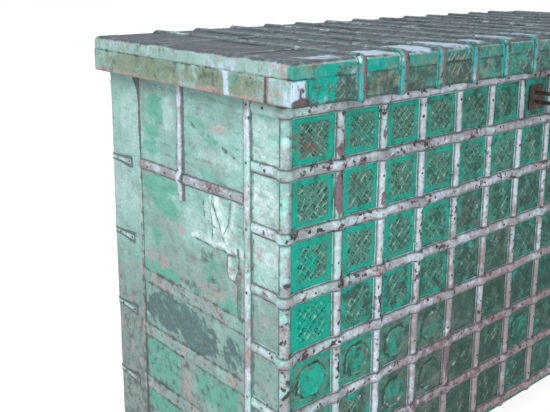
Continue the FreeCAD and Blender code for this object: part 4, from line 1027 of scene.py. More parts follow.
def paintEnd(piece, side):
    points = pointsOf(piece)
    u, z = points[:, 1] - frontPlane, points[:, 2]
    masks = {name: blots(u, z, spots) for name, spots in endSpots.items()}
    masks["bare"] = 1.6 * masks["bare"] + 0.55 * smooth(0, 0.4, masks["bare"]) * ripple(points, 0.025, 36)
    masks["pale"] = np.maximum(masks["pale"], 0.14 + 0.12 * ripple(points, 0.25, 33))
    # greyer towards the bottom: painted shade
    dull = 0.2 + 0.22 * ripple(points, 0.2, 34) + 0.55 * smooth(0.85, 0.2, z)
    masks["grey"] = np.maximum(masks["grey"], dull)
    # painted shade beside the straps and strips, under the corner sheet's edge and along the lapped edge
    edge = 0.5 * near(0.012, 0.02, abs(u - frontStrapU)) + smooth(cornerEdge - 0.008, cornerEdge - 0.002, u)
    edge += 0.4 * near(0.012, 0.02, abs(u - shortStrapU)) * (z > shortFoot - 0.001)
    edge += 0.42 * near(0.001, 0.005, besideLine(u, z + 0.002 * ripple(points, 0.08, 35), lap["along"])[0])
    edge += 0.45 * near(0.016, 0.022, abs(offNearest(z, endStrip["levels"]))) * (u > frontStrapU + 0.008)
    # darker towards the bottom: painted shade
    masks["grime"] = np.maximum(masks["grime"], edge) + 0.3 * smooth(0.62, 0.25, z)
    if side > 0:
        # creases: painted highlight on the raised side, where the grey is also taken off, and painted shade
        # along the valleys
        _, valley, crest = creased(u, z)
        masks["grime"] = np.maximum(masks["grime"], 0.7 * valley)
        masks["pale"] = np.maximum(masks["pale"], 1.3 * crest)
        masks["grey"] = masks["grey"] * (1 - 0.8 * crest)
    brush(piece, **masks)


def endSheet(side):
    us = np.arange(0, endWall["depth"] + endWall["step"] / 2, endWall["step"])
    zs = np.linspace(wallFoot, wallTop, int((wallTop - wallFoot) / endWall["step"]))
    z, u = np.meshgrid(zs, us, indexing="ij")
    lift = endRelief(u, z, 30 if side > 0 else 130)
    if side > 0:
        lift = lift + creased(u, z)[0]
    lift = np.maximum(lift * (1 - nearStraps(u, z)), -0.0004)
    outer = grid(side * (endFace - lift), frontPlane + u, z)
    inner = grid(side * (endFace + skin), frontPlane + u, z)
    piece = newPiece(f"{sideName[side]}EndSheet", *dentedSheet(*facing(side, outer, inner)))
    paintEnd(piece, side)
    finishPiece(piece, "chest", "painted_sheet", endFinish, f"{sideName[side]}_end_sheet")


# Corner sheet: a second skin lapped round the back corner, with a hand-cut edge
def cornerSheetPiece(side):
    zs = np.linspace(wallFoot, wallTop, 140)
    z, share = np.meshgrid(zs, np.linspace(0, 1, 34), indexing="ij")
    wave = cornerSheet["wobble"] * ripple(grid(0, 0, zs), 0.3, 8 if side > 0 else 9)
    clip = cornerSheet["clip"][0] * smooth(wallTop - cornerSheet["clip"][1], wallTop, zs)
    start = (frontPlane + cornerEdge + wave + clip * 0.9)[:, None]
    outX, outY = endFace - skin, backFace + skin
    along = share * (outY - start + cornerSheet["return"])
    onEnd = along <= outY - start
    y = np.where(onEnd, start + along, outY)
    x = np.where(onEnd, outX, outX + along - (outY - start))
    lift = np.clip(cornerSheet["dent"] * ripple(grid(x, y, z), 0.18, 14), 0, None)
    lift *= smooth(0.014, 0.03, abs(offNearest(z, backZs)))
    x, y = np.where(onEnd, x - lift, x), np.where(onEnd, y, y + lift)
    inY = np.where(onEnd, np.minimum(y, outY - skin), outY - skin)
    outer, inner = grid(side * x, y, z), grid(side * np.where(onEnd, outX + skin, x), inY, z)
    piece = newPiece(f"{sideName[side]}CornerSheet", *slab(*facing(side, outer, inner)))
    points = pointsOf(piece)
    u, z = points[:, 1] - frontPlane, points[:, 2]
    rusty = 0.55 * near(0.004, 0.016, u - cornerEdge) + 0.3 * smooth(0.585, 0.603, u)
    # darker towards the bottom: painted shade, as on the end sheet
    low = 0.34 * smooth(0.6, 0.3, z) + 0.2 * smooth(0.35, 0.15, z) * smooth(0.54, 0.5, u)
    brush(
        piece, pale=0.40 * smooth(0.4, 0.7, z) + 0.2 * ripple(points, 0.2, 17),
        # greyer towards the bottom: painted shade
        grey=0.18 + 0.9 * smooth(0.65, 0.3, z), pink=0.55 * rusty + 0.1 + 0.22 * smooth(0.6, 0.3, z),
        bright=0.25 * smooth(0.8, 0.93, z) + 0.3 * smooth(0.2, 0.1, z),
        # darker along the cut edge: painted shadow
        grime=0.4 * near(0.003, 0.006, u - cornerEdge) + low,
    )
    finishPiece(piece, "chest", "painted_sheet", endFinish, f"{sideName[side]}_corner_sheet")


# Flat strips on the lower half of the end
def endStrips(side):
    low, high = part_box("left_end_strips")
    thin, levels = endFace - low.x, endStrip["levels"]
    uprightY, wide = frontPlane + endStrip["upright"], endStrip["uprightHalf"]
    boxes = [(low.y, high.y, level, endStrip["half"]) for level in levels]
    middles = (levels[1] + levels[2]) / 2, (levels[2] + wallFoot) / 2 - endStrip["drop"]
    boxes += [(uprightY - wide, uprightY + wide, *tall) for tall in zip(middles, endStrip["tall"])]
    parts = []
    for i, (start, stop, level, half) in enumerate(boxes):
        ys = np.linspace(start, stop, max(8, int((stop - start) / 0.006)))
        zs = level + half * np.linspace(-1, 1, 6 if half < 0.02 else 16)
        z, y = np.meshgrid(zs, ys, indexing="ij")
        plan = grid(0, y, z)
        z = z + endStrip["wander"] * ripple(plan * (1, 1, 0.01), 0.15, 90 + i)
        lift = thin + endStrip["dent"] * np.clip(ripple(plan, 0.08, 95 + i), 0, 1)
        parts.append(slab(*facing(side, grid(side * (endFace - lift), y, z), grid(side * endFace, y, z))))
    piece = newPiece(f"{sideName[side]}EndStrips", *joined(parts))
    points = pointsOf(piece)
    rims = smooth(0.010, 0.014, abs(offNearest(points[:, 2], levels))) * (abs(points[:, 1] - uprightY) > 0.03)
    brush(
        piece, grey=0.62 + 0.15 * ripple(points, 0.1, 97), pink=0.42 + 0.2 * ripple(points, 0.07, 98),
        # darker along the strips' edges: painted shade
        grime=0.2 + 0.12 * ripple(points, 0.05, 99) + 0.35 * rims, pale=0.2,
    )
    finishPiece(piece, "chest", "painted_sheet", endFinish, f"{sideName[side]}_end_strips")


# Front strap and short strap of the end; the short one rises over the cross strap
def endUpright(side, which, look):
    name, short = sideName[side], which == "short"
    low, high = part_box(f"{name}_end_strap_{which}")
    middle = (low.y + high.y) / 2
    over = crossZ if short else None
    run = uprightRun(side * endFace, middle, low.z, high.z, (-side, 0, 0), 50 + side, over)
    piece = sweep(f"{name}End{which.title()}Strap", [run], look, strapFinish)
    points = pointsOf(piece)
    flank = (middle - points[:, 1]) / strapWidth        # towards the front
    brush(
        piece, chips=0.1 + 0.12 * ripple(points, 0.08, 52),
        mint=0.38 + 0.2 * ripple(points, 0.12, 53) - 0.15 * short,
        # grey on the flanks and foot on the front flank are painted shade; turquoise on the front flank is
        # turquoise paint and painted shade
        grey=(0.75 if short else 0.3) * smooth(0.05, 0.3, abs(flank - 0.06)) + 0.1 * ripple(points, 0.05, 59),
        pink=0.34 + 0.16 * ripple(points, 0.16, 54) - 0.2 * short,
        foot=np.maximum(maskValues(piece, "foot"), (0.9 if short else 0.5) * smooth(0.26, 0.36, flank)),
        turquoise=(0.6 - 0.5 * short) * smooth(0.12, 0.34, flank) + 0.1 * ripple(points, 0.1, 55),
    )
    finishPiece(piece, "chest", "strap_iron", strapFinish, f"{name}_end_strap_{which}")


def endCross(side, look):
    name = sideName[side]
    low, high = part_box(f"{name}_end_cross_strap")
    line = grid(side * endFace, np.linspace(low.y, high.y, 70), crossZ)
    line[:, 2] += crossStrap["wander"] * ripple(line, 0.4, 56)
    run = (line, np.tile((-side, 0, 0), (len(line), 1)), np.ones(len(line)))
    piece = sweep(f"{name}EndCrossStrap", [run], dict(look, **crossStrap), strapFinish)
    points = pointsOf(piece)
    brush(
        piece, chips=0.1 + 0.12 * ripple(points, 0.07, 57), mint=0.4 + 0.1 * ripple(points, 0.09, 67),
        pink=0.3 + 0.2 * ripple(points, 0.1, 58), grey=0.62,
        bare=0.5 * near(0.01, 0.04, abs(points[:, 1] - frontPlane - 0.205)),
    )
    finishPiece(piece, "chest", "strap_iron", strapFinish, f"{name}_end_cross_strap")


for side in sideName:
    endSheet(side)
    cornerSheetPiece(side)
    endStrips(side)
    look = dict(uprightLook, dent=0.0036, seed=6.0 + side)
    endUpright(side, "front", look)
    endUpright(side, "short", look)
    endCross(side, look)
print("end walls made")

# Back: a dented sheet and straps whose tails flare on the end walls
backLook = {"crown": 0.0030, "width": strapWidth * 0.93, "dent": 0.0008, "dentSize": 30.0, "seed": 9.0}
backTail = 0.085                              # length of a tail on the end wall
backDent = 0.0012


def backSheet():
    xs, zs = np.linspace(endFace + skin, -endFace - skin, 200), np.linspace(wallFoot, wallTop, 110)
    z, x = np.meshgrid(zs, xs, indexing="ij")
    lift = backDent * np.clip(ripple(grid(x, 0, z), 0.3, 23), -0.2, 1)
    lift *= smooth(0.014, 0.05, abs(offNearest(z, backZs))) * near(0.70, 0.73, abs(x))
    lift *= smooth(wallTop - 0.05, wallTop - 0.09, z)
    piece = newPiece("backSheet", *slab(*facing(-1, grid(x, backFace + lift, z), grid(x, backPlane, z))))
    points = pointsOf(piece)
    brush(
        piece, pale=0.25 + 0.25 * ripple(points, 0.4, 24), bright=0.22 + 0.28 * ripple(points, 0.22, 26),
        grey=0.3 + 0.25 * ripple(points, 0.5, 25) + 0.25 * smooth(0.4, 0.1, points[:, 2]),
        pink=0.16 + 0.25 * ripple(points, 0.25, 27), grime=0.12 + 0.2 * ripple(points, 0.2, 28),
    )
    finishPiece(piece, "chest", "painted_sheet", endFinish, "back_sheet")


def backRun(z):
    outX, outY = endFace - skin, backFace + skin
    tipY = backPlane - backTail
    half = np.concatenate([
        stepped([(outX, tipY), (outX, outY - 0.004)], 0.006),
        arcPoints((outX + 0.003, outY - 0.003), 0.003, 180, 90, 5),
        stepped([(outX + 0.005, outY), (-0.004, outY)], 0.012),
    ])
    plan = np.concatenate([half, half[::-1] * (-1, 1)])
    ways = tangents(plan)
    x, y = plan.T
    girth = np.where(y < outY - 0.0005, 1.0 - 0.4 * smooth(0.0, backTail, y - tipY), 1)
    girth = np.where(abs(x) < -outX - 0.03, 1.0, np.minimum(girth, 0.75))
    girth = np.where(y < outY - 0.02, 1.08 - 0.45 * smooth(0.0, 0.07, y - tipY), girth)
    return grid(x, y, z), grid(-ways[:, 1], ways[:, 0], 0), girth


def backStraps():
    section = rimmed()
    piece = sweep("backStraps", [backRun(z) for z in backZs], backLook, strapFinish, section)
    bpy.data.objects.remove(section)
    points = pointsOf(piece)
    x, y, z = points.T
    tails = (abs(x) > -endFace - 0.002).astype(float)
    brush(
        # foot: painted shade at the tips of the tails
        piece, foot=np.maximum(maskValues(piece, "foot"), near(0.002, 0.009, y - y.min())),
        chips=np.where(tails > 0, 0.02, 0.2) + 0.1 * ripple(points, 0.08, 29),
        mint=0.4 + 0.55 * tails + 0.2 * ripple(points, 0.2, 30),
        grey=0.36 * tails * smooth(0.8, 0.3, z) + 0.1 * tails,
        pink=0.25 + 0.25 * ripple(points, 0.2, 31) * (1 - tails),
    )
    finishPiece(piece, "chest", "strap_iron", strapFinish, "back_straps")


backSheet()
backStraps()
print("back made")

# Lid: top sheet folded over its edge, rim sheet, corner plates, straps and seams
lid = {
    "radius": 0.0102, "step": 0.012, "dent": 0.0016, "foldDent": 0.0005, "rimDent": 0.0009,
    "lattice": 0.021, "relief": 0.0013,
}

# Paint along the front of the lid, from the left end and from the ground
lidFront = {
    "bright": [
        tile(0.022, 0.968, 0.042, 0.022, amount=1.3, soft=0.15), spot(0.115, 0.955, 0.010, 0.016, 0.8),
        spot(0.045, 1.000, 0.035, 0.011, 0.9), tile(0.158, 1.000, 0.030, 0.013, amount=1.3, soft=0.15),
        spot(0.43, 1.000, 0.02, 0.010, 0.8), spot(0.54, 0.972, 0.03, 0.014, 0.5),
    ],
    "relief": [
        tile(0.090, 0.972, 0.030, 0.034, soft=0.2), spot(0.255, 0.965, 0.06, 0.03, 0.5),
        tile(0.405, 0.975, 0.05, 0.034, soft=0.2), spot(0.52, 0.99, 0.05, 0.03, 0.5),
        tile(0.85, 0.975, 0.25, 0.04, amount=0.8), tile(1.35, 0.975, 0.15, 0.04, amount=0.8),
    ],
    "dull": [
        spot(0.10, 0.985, 0.03, 0.035, 0.7), spot(0.19, 0.965, 0.06, 0.022, 0.9),
        spot(0.30, 0.975, 0.05, 0.04, 0.6), spot(0.40, 0.965, 0.05, 0.025, 0.7),
        spot(0.008, 1.006, 0.03, 0.006, 0.8), spot(0.51, 0.98, 0.05, 0.04, 0.5),
        spot(0.9, 0.97, 0.3, 0.03, 0.5),
    ],
}
# Painted sheen: pale places on the top, from the left end and back from the front plane
lidShine = [
    spot(0.19, -0.022, 0.075, 0.035), spot(0.29, -0.01, 0.05, 0.055), spot(0.07, -0.025, 0.07, 0.03, 0.5),
    spot(0.40, 0.0, 0.05, 0.06), spot(0.51, 0.01, 0.05, 0.05, 0.8), spot(0.62, 0.02, 0.05, 0.06, 0.6),
    spot(0.75, 0.03, 0.07, 0.06, 0.5),
]
foldPink = spot(-0.055, 1.003, 0.04, 0.014)
# Paint along the rim's ends, back from the front plane
rimEnd = {
    "olive": [
        tile(0.168, 0.966, 0.043, 0.024, amount=0.95, soft=0.2),
        spot(0.40, 0.966, 0.14, 0.03, 1.2, soft=0.7), spot(0.28, 0.968, 0.09, 0.03, 0.6, soft=0.6),
        tile(0.062, 0.966, 0.05, 0.024, amount=0.75, soft=0.5),
    ],
    "pink": [
        spot(0.175, 0.9475, 0.05, 0.005), spot(0.52, 0.947, 0.1, 0.005, 0.7),
        tile(-0.001, 0.965, 0.004, 0.03, amount=0.8), spot(0.04, 0.9465, 0.06, 0.004, 0.7),
    ],
    "green": [
        spot(0.30, 0.980, 0.05, 0.016, soft=0.6), spot(0.09, 0.972, 0.03, 0.02, soft=0.6),
        spot(0.38, 0.970, 0.09, 0.020, 1.7),
    ],
    "pale": [tile(0.121, 0.966, 0.0065, 0.03, soft=0.2)],
    "rust": [tile(0.0075, 0.964, 0.0035, 0.03, soft=0.3)],
}


def edgeSteps(low, high):
    r = lid["radius"]
    inner = np.linspace(low + r, high - r, int((high - low) / lid["step"]))
    bends = r * (1 - np.cos(np.radians([0, 18, 36, 54, 72])))
    return np.concatenate([low + bends, inner, (high - bends)[::-1]])


def frontPaint(x, z):
    return (blots(x - endFace, z, lidFront[name]) for name in ("bright", "relief", "dull"))


def lidTop():
    r = lid["radius"]
    x, y = np.meshgrid(edgeSteps(lidLow.x, lidHigh.x), edgeSteps(lidLow.y, lidHigh.y), indexing="ij")
    ex = np.clip(lidLow.x + r - x, 0, None) - np.clip(x - lidHigh.x + r, 0, None)
    ey = np.clip(lidLow.y + r - y, 0, None) - np.clip(y - lidHigh.y + r, 0, None)
    reach = (abs(ex) ** 8 + abs(ey) ** 8) ** 0.125           # nearly square in plan
    pull = np.where(reach > r, r / np.maximum(reach, 1e-9), 1)
    x, y = x + ex * (1 - pull), y + ey * (1 - pull)
    drop = r - np.sqrt(np.clip(r * r - np.minimum(reach, r) ** 2, 0, None))
    wave = np.clip(lid["dent"] * ripple(grid(x, y, 0), 0.22, 41), -0.0009, 0.0012)
    top = grid(x, y, lidHigh.z - drop + wave * (reach < 1e-6)).reshape(-1, 3)
    index = np.arange(len(top)).reshape(x.shape)
    rim = rimOf(index)
    x, y, _ = top[rim].T
    onEnd, onLong = abs(x) > lidHigh.x - 1e-4, (y < lidLow.y + 1e-4) | (y > lidHigh.y - 1e-4)
    out = grid(np.sign(x) * onEnd, np.sign(y) * onLong, 0)
    loops = []
    for level in (0.6, 0.25, 0.0):               # down the fold, with dents
        loop = grid(x, y, lidLow.z + (lidHigh.z - r - lidLow.z) * level)
        loops.append(loop + out * (lid["foldDent"] * np.clip(ripple(loop, 0.11, 42), 0, 1))[:, None])
    inX = x - np.sign(x) * skin * (abs(x) > lidHigh.x - 0.004)
    inY = y - np.sign(y) * skin * (abs(y) > lidHigh.y - 0.004)
    loops.append(grid(inX, inY, lidLow.z))
    rings = [rim] + [len(top) + k * len(rim) + np.arange(len(rim)) for k in range(len(loops))]
    faces = [quadsOf(index)] + [band(upper, lower) for upper, lower in zip(rings[:-1], rings[1:])]
    piece = newPiece("lidTopSheet", np.concatenate([top, *loops]), np.concatenate(faces))
    points = pointsOf(piece)
    x, y, z = points.T
    u = y - frontPlane
    flat = smooth(lidHigh.z - 0.006, lidHigh.z - 0.0025, z)
    onFront = (y < lidLow.y + 0.012) & (flat < 0.5)
    fold = (1 - flat) * ~onFront
    bright, relief, dull = frontPaint(x, z)
    patchy = ripple(points, 0.3, 44)
    pink = fold * (0.12 + 0.3 * smooth(1.006, 1.011, z) + 0.45 * foldPink(u, z))
    brush(
        piece, mauve=flat * 0.9, green=0.85 * onFront,
        # pale on the flat top is painted sheen
        pale=blots(x - endFace, u, lidShine) * flat + 0.17 * fold,
        bright=np.where(onFront, np.maximum(bright, 0.12 + 0.2 * ripple(points, 0.1, 43)), 0.05),
        ornament=np.where(onFront, 0.6 * relief, 0.12 * fold * smooth(0, 0.5, patchy)),
        ridge=np.where(onFront, 0.45 * relief, 0.2 * fold * smooth(-0.2, 0.5, patchy)),
        pink=np.where(onFront, 0.1, pink), olive=0.1 * fold + 0.7 * dull * onFront,
        # darker along the fold's lower edge
        grime=0.04 + 0.14 * ripple(points, 0.12, 45) * (1 - flat) + 0.5 * near(0.0008, 0.003, z - lidLow.z),
    )
    finishPiece(piece, "lid", "painted_sheet", lidFinish, "lid_top_sheet")


# Rim sheet under the fold: one strip on each side of the lid, down to the foot of the rails
def lidRim():
    parts, pitch = [], lid["lattice"]
    corners = [(lidLow.x, lidLow.y), (lidHigh.x, lidLow.y), (lidHigh.x, lidHigh.y), (lidLow.x, lidHigh.y)]
    for i, (a, b) in enumerate(zip(np.array(corners), np.roll(corners, -1, axis=0))):
        length = np.linalg.norm(b - a)
        way = (b - a) / length
        out = np.array([way[1], -way[0], 0])
        ss = np.linspace(0, length, int(length / (0.0035 if i == 0 else 0.007)))
        s, z = np.meshgrid(ss, np.linspace(rimFoot, rimTop, 15), indexing="ij")
        x, y = a[0] + s * way[0], a[1] + s * way[1]
        sheet = grid(x, y, z)
        lift = lid["rimDent"] * np.clip(ripple(sheet, 0.09, 61 + i), -0.4, 1)
        if i == 0:                               # pressed ornament on the front
            kept = np.clip(0.6 + 0.6 * ripple(sheet, 0.05, 66), 0, 1)
            zone = blots(x - endFace, z, lidFront["relief"]) * kept
            lift += lid["relief"] * zone * latticeWork(x / pitch, z / pitch)
        lift *= smooth(0, 0.02, np.minimum(s, length - s))
        parts.append(slab(sheet + out * lift[..., None], sheet - out * skin))
    piece = newPiece("lidRimSheet", *joined(parts))
    points = pointsOf(piece)
    x, y, z = points.T
    onFront = y < lidLow.y + 0.004
    bright, relief, dull = frontPaint(x, z)
    end = {name: blots(y - frontPlane, z, spots) for name, spots in rimEnd.items()}
    work = latticeWork(x / pitch, z / pitch)
    # darker along the rim's top, under the fold: painted shade
    grime = 0.12 + 0.15 * ripple(points, 0.1, 72) + 0.35 * near(0.001, 0.004, rimTop - z)
    olive = np.maximum(0.75 * dull, 0.15 + 0.15 * ripple(points, 0.12, 68))
    brush(
        piece, green=np.where(onFront, 0.9, 0.45 * end["green"]),
        olive=np.where(onFront, olive, end["olive"]),
        bright=np.where(onFront, np.maximum(bright, 0.12 + 0.2 * ripple(points, 0.09, 69)), 0.05),
        # darker between the lattice bars as painted shade in the recesses, paler on the bars as rubbed paint
        # and painted highlight
        ornament=np.where(onFront, relief * (0.75 - 0.5 * work) + 0.1, 0.05),
        ridge=np.where(onFront, relief * (0.15 + 0.35 * work), 0),
        pink=np.where(onFront, 0.08, np.maximum(end["pink"], 0.75 * near(0.002, 0.005, z - rimFoot))),
        pale=np.where(onFront, 0, 0.7 * end["pale"]), rust=np.where(onFront, 0, end["rust"]),
        # on the front, darker along the rim's foot as a painted shadow line, and darker overall
        grime=grime + onFront * (0.5 * near(0.002, 0.006, z - rimFoot) + 0.15 + 0.25 * dull),
    )
    finishPiece(piece, "lid", "painted_sheet", lidFinish, "lid_rim_sheet")


# Corner plates: folded round the two front corners of the rim
plate = {"end": 0.066, "front": 0.036, "bend": 0.005, "dent": 0.0006, "white": 0.028}
plateRust = [
    spot(0.020, 0.947, 0.022, 0.011), spot(0.016, 0.968, 0.004, 0.012, 0.7, 15),
    tile(0.0285, 0.966, 0.0015, 0.03, amount=0.6),
]


def cornerPlates():
    low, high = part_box("lid_corner_plates")
    out = plate["bend"]
    plan = np.concatenate([
        stepped([(low.x, low.y + plate["end"]), (low.x, low.y + out + 0.001)], 0.006),
        arcPoints((low.x + out, low.y + out), out, 180, 270, 7),
        stepped([(low.x + out + 0.001, low.y), (low.x + plate["front"], low.y)], 0.006),
    ])
    ways = tangents(plan)
    normals = grid(ways[:, 1], -ways[:, 0], 0)[:, None, :]
    sheet = grid(plan[:, :1], plan[:, 1:], np.linspace(low.z, high.z, 10))
    lift = plate["dent"] * np.clip(ripple(sheet, 0.03, 75), 0, 1)[..., None]
    outer, inner = sheet + normals * lift, sheet - normals * skin
    parts = [slab(*facing(side, outer * (side, 1, 1), inner * (side, 1, 1))) for side in sideName]
    piece = newPiece("lidCornerPlates", *joined(parts))
    x, y, z = pointsOf(piece).T
    onFront = y < low.y + 0.004
    edge = near(0.002, 0.008, low.y + plate["end"] - y)
    inward = -low.x - abs(x)
    white = smooth(plate["white"] + 0.001, plate["white"] - 0.001, inward) * smooth(0.990, 0.984, z)
    border = 0.75 * near(0.001, 0.003, abs(inward - plate["white"]))
    brush(
        piece, pale=np.where(onFront, 1.3 * white, 0.35), green=np.where(onFront, 1 - white, 0),
        grime=0.1 + 0.2 * edge, rust=np.where(onFront, 1.1 * blots(inward, z, plateRust), 0),
        pink=np.where(onFront, border, 0.25 + 0.5 * edge + 0.5 * smooth(0.004, 0.0, y - low.y)),
        bright=np.where(onFront, 0.6 * (1 - white), 0.1),
    )
    finishPiece(piece, "lid", "painted_sheet", lidFinish, "lid_corner_plates")


# Domed straps over the top, down the rim and turned under it; the middle one ends at the hasp plate
lidStrap = {
    "crown": 0.0058, "width": strapWidth, "dent": 0.0022, "dentSize": 28.0, "seed": 12.0, "wander": 0.0016,
    "tuck": 0.018, "bend": 0.004,
}
seam = {"width": 0.018, "wander": 0.0012}


def lidRun(x, seed, full):
    r, small = lid["radius"], lidStrap["bend"]
    rim, top = lidLow.y, lidHigh.z
    line = [
        stepped([(lidStrapHigh.y, top), (rim + r + 0.003, top)], 0.008),
        arcPoints((rim + r, top - r), r, 90, 180, 9),
    ]
    if full:
        under = lidStrapLow.z + 0.006
        line += [
            stepped([(rim, top - r - 0.003), (rim, under + small + 0.002)], 0.006),
            arcPoints((rim + small, under + small), small, 180, 270, 5),
            stepped([(rim + small + 0.002, under), (rim + lidStrap["tuck"], under)], 0.005),
        ]
    else:
        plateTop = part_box("hasp_plate")[1].z
        line += [stepped([(rim, top - r - 0.003), (rim, plateTop + 0.0005)], 0.006)]
    plan = np.concatenate(line)
    ways = tangents(plan)
    points = grid(x, plan[:, 0], plan[:, 1])
    points[:, 0] += lidStrap["wander"] * ripple(points, 0.5, seed)
    return points, grid(0, ways[:, 1], -ways[:, 0]), np.ones(len(plan))


def lidStraps():
    middle = np.argmin(abs(lidStrapXs))
    runs = [lidRun(x, 300 + i, i != middle) for i, x in enumerate(lidStrapXs)]
    piece = sweep("lidStraps", runs, lidStrap, lidStrapFinish)
    points = pointsOf(piece)
    x, y, _ = points.T
    across = offNearest(x, lidStrapXs) / strapWidth
    front = smooth(lidLow.y + 0.03, lidLow.y + 0.004, y)
    loose = ripple(points, 0.06, 77)
    # pale on the left flanks: painted highlight
    pale = front * smooth(-0.12, -0.3, across) * (0.14 + 0.3 * ripple(points, 0.04, 78))
    pale += (1 - front) * smooth(0.1, -0.3, across) * (0.08 + 0.25 * ripple(points, 0.1, 79))
    brush(
        piece, turquoise=front * smooth(0.05, -0.2, across) * (0.82 + 0.3 * loose), pale=pale,
        brown=front * smooth(-0.2, 0.05, across) * (1.05 + 0.2 * loose), chips=0.2 + 0.13 * loose,
    )
    finishPiece(piece, "lid", "strap_iron", lidStrapFinish, "lid_straps")


# Flat strips between the straps, over the seams of the top
def lidSeams():
    low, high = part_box("lid_seam_strips")
    parts, width = [], seam["width"]
    starts = np.append(low.x, lidStrapXs + strapWidth / 2)
    stops = np.append(lidStrapXs - strapWidth / 2, high.x)
    domed = 1 - 0.5 * abs(np.linspace(-1, 1, 5)) ** 4
    for y in (low.y + width / 2, high.y - width / 2):
        for i, (a, b) in enumerate(zip(starts, stops)):
            gx, gy = np.meshgrid(np.linspace(a, b, 14), y + width * np.linspace(-0.5, 0.5, 5), indexing="ij")
            gy = gy + seam["wander"] * ripple(grid(gx, gy, 0) * (1, 0.01, 1), 0.1, 400 + i)
            parts.append(slab(grid(gx, gy, low.z + (high.z - low.z) * domed), grid(gx, gy, low.z - 0.0006)))
    piece = newPiece("lidSeamStrips", *joined(parts))
    points = pointsOf(piece)
    brush(
        piece, pale=0.1 + 0.3 * ripple(points, 0.08, 81), chips=0.2 + 0.2 * ripple(points, 0.06, 82),
        foot=0.35,
    )
    finishPiece(piece, "lid", "strap_iron", lidStrapFinish, "lid_seam_strips")


lidTop()
lidRim()
cornerPlates()
lidStraps()
lidSeams()
print("lid made")

# Nail heads
nail = {
    "radius": 0.0036, "height": 0.0022, "sides": 9, "sink": 0.0004,
    "endPitch": 0.115, "stripPitch": 0.055, "backPitch": 0.12, "topPitch": 0.085, "foldPitch": 0.075,
    "strapLevel": 0.962, "foldLevel": 0.982, "plateLevel": 0.97, "rowTail": 0.055, "backSeat": 0.0027,
    "crossUs": (0.15, 0.22, 0.27, 0.38, 0.45),
    "backTails": [(0.075, 0.0027, 0.75), (0.022, 0.0022, 0.7)],     # from the back plane, off the sheet, size
}


def nailMaster():
    rings, n = [(1.0, 0.0), (0.92, 0.45), (0.55, 0.88)], nail["sides"]
    turn = np.radians(np.arange(n) * 360 / n)
    points = [(r * math.cos(t), r * math.sin(t), h) for r, h in rings for t in turn] + [(0, 0, 1)]
    faces = [
        (k * n + i, k * n + (i + 1) % n, (k + 1) * n + (i + 1) % n, (k + 1) * n + i)
        for k in range(2) for i in range(n)
    ]
    faces += [(2 * n + i, 2 * n + (i + 1) % n, 3 * n) for i in range(n)] + [tuple(range(n))[::-1]]
    return newPiece("nailMaster", points, faces)


def nailTree(master):
    tree, given, end = newTree("nailHeads", Radius="Float", Height="Float", Finish="Material")
    shape = node(tree, "GeometryNodeObjectInfo", Object=master).outputs["Geometry"]
    outward = named(tree, "outward", "FLOAT_VECTOR")
    turned = node(tree, "FunctionNodeAlignRotationToVector", {"axis": "Z"}, Vector=outward)
    size = node(tree, "ShaderNodeCombineXYZ", X=given["Radius"], Y=given["Radius"], Z=given["Height"])
    heads = node(
        tree, "GeometryNodeInstanceOnPoints", Points=given["Geometry"], Instance=shape,
        Rotation=turned.outputs[0], Scale=scaled(tree, size.outputs[0], named(tree, "girth")),
    )
    closeTree(tree, heads.outputs[0], end, given["Finish"])
    return tree


# Nails are driven one by one; a head's size is drawn between two shares, or is the first one
def nailBag(seed):
    draw, spots = np.random.default_rng(seed), []

    def drive(place, way, least, most=None):
        spots.append((place, way, draw.uniform(least, most) if most else least))

    return draw, spots, drive


def chestNails():
    draw, spots, drive = nailBag(5)
    out = (0, -1, 0)
    onRow, onUpright, onCross = (look["crown"] - nail["sink"] for look in (rowLook, uprightLook, crossStrap))
    midRows, midColumns = (rowZs[:-1] + rowZs[1:]) / 2, (columnEdges[:-1] + columnEdges[1:]) / 2
    for x in uprightXs:
        for z in midRows:
            drive((x + draw.normal(0, 0.002), frontFace - onUpright, z + draw.normal(0, 0.02)), out, 0.7, 1.1)
    for z in rowZs:
        for x in midColumns:
            drive((x + draw.normal(0, 0.018), frontFace - onRow, z + draw.normal(0, 0.002)), out, 0.7, 1.1)
    for side in sideName:
        way = (-side, 0, 0)
        for z in rowZs:
            place = (side * (endFace - onRow), frontFace + nail["rowTail"] + draw.normal(0, 0.008), z)
            drive(place, way, 0.7, 1.0)
        for z in np.arange(wallFoot + 0.05, wallTop, nail["endPitch"]):
            place = (side * (endFace - onUpright), frontPlane + frontStrapU, z + draw.normal(0, 0.01))
            drive(place, way, 0.7, 1.0)
        for u in nail["crossUs"]:
            drive((side * (endFace - onCross), frontPlane + u, crossZ), way, 0.7, 1.0)
        for z in backZs:
            for back, seat, size in nail["backTails"]:
                drive((side * (endFace - skin - seat), backPlane - back, z), way, size)
        for u in np.arange(0.14, 0.47, nail["stripPitch"]):
            for z in endStrip["levels"]:
                drive((side * (endFace - 0.0009), frontPlane + u, z + draw.normal(0, 0.003)), way, 0.45, 0.7)
    for z in backZs:
        for x in np.arange(-0.72, 0.73, nail["backPitch"]):
            drive((x, backFace + skin + nail["backSeat"], z), (0, 1, 0), 0.7, 1.0)
    return spots


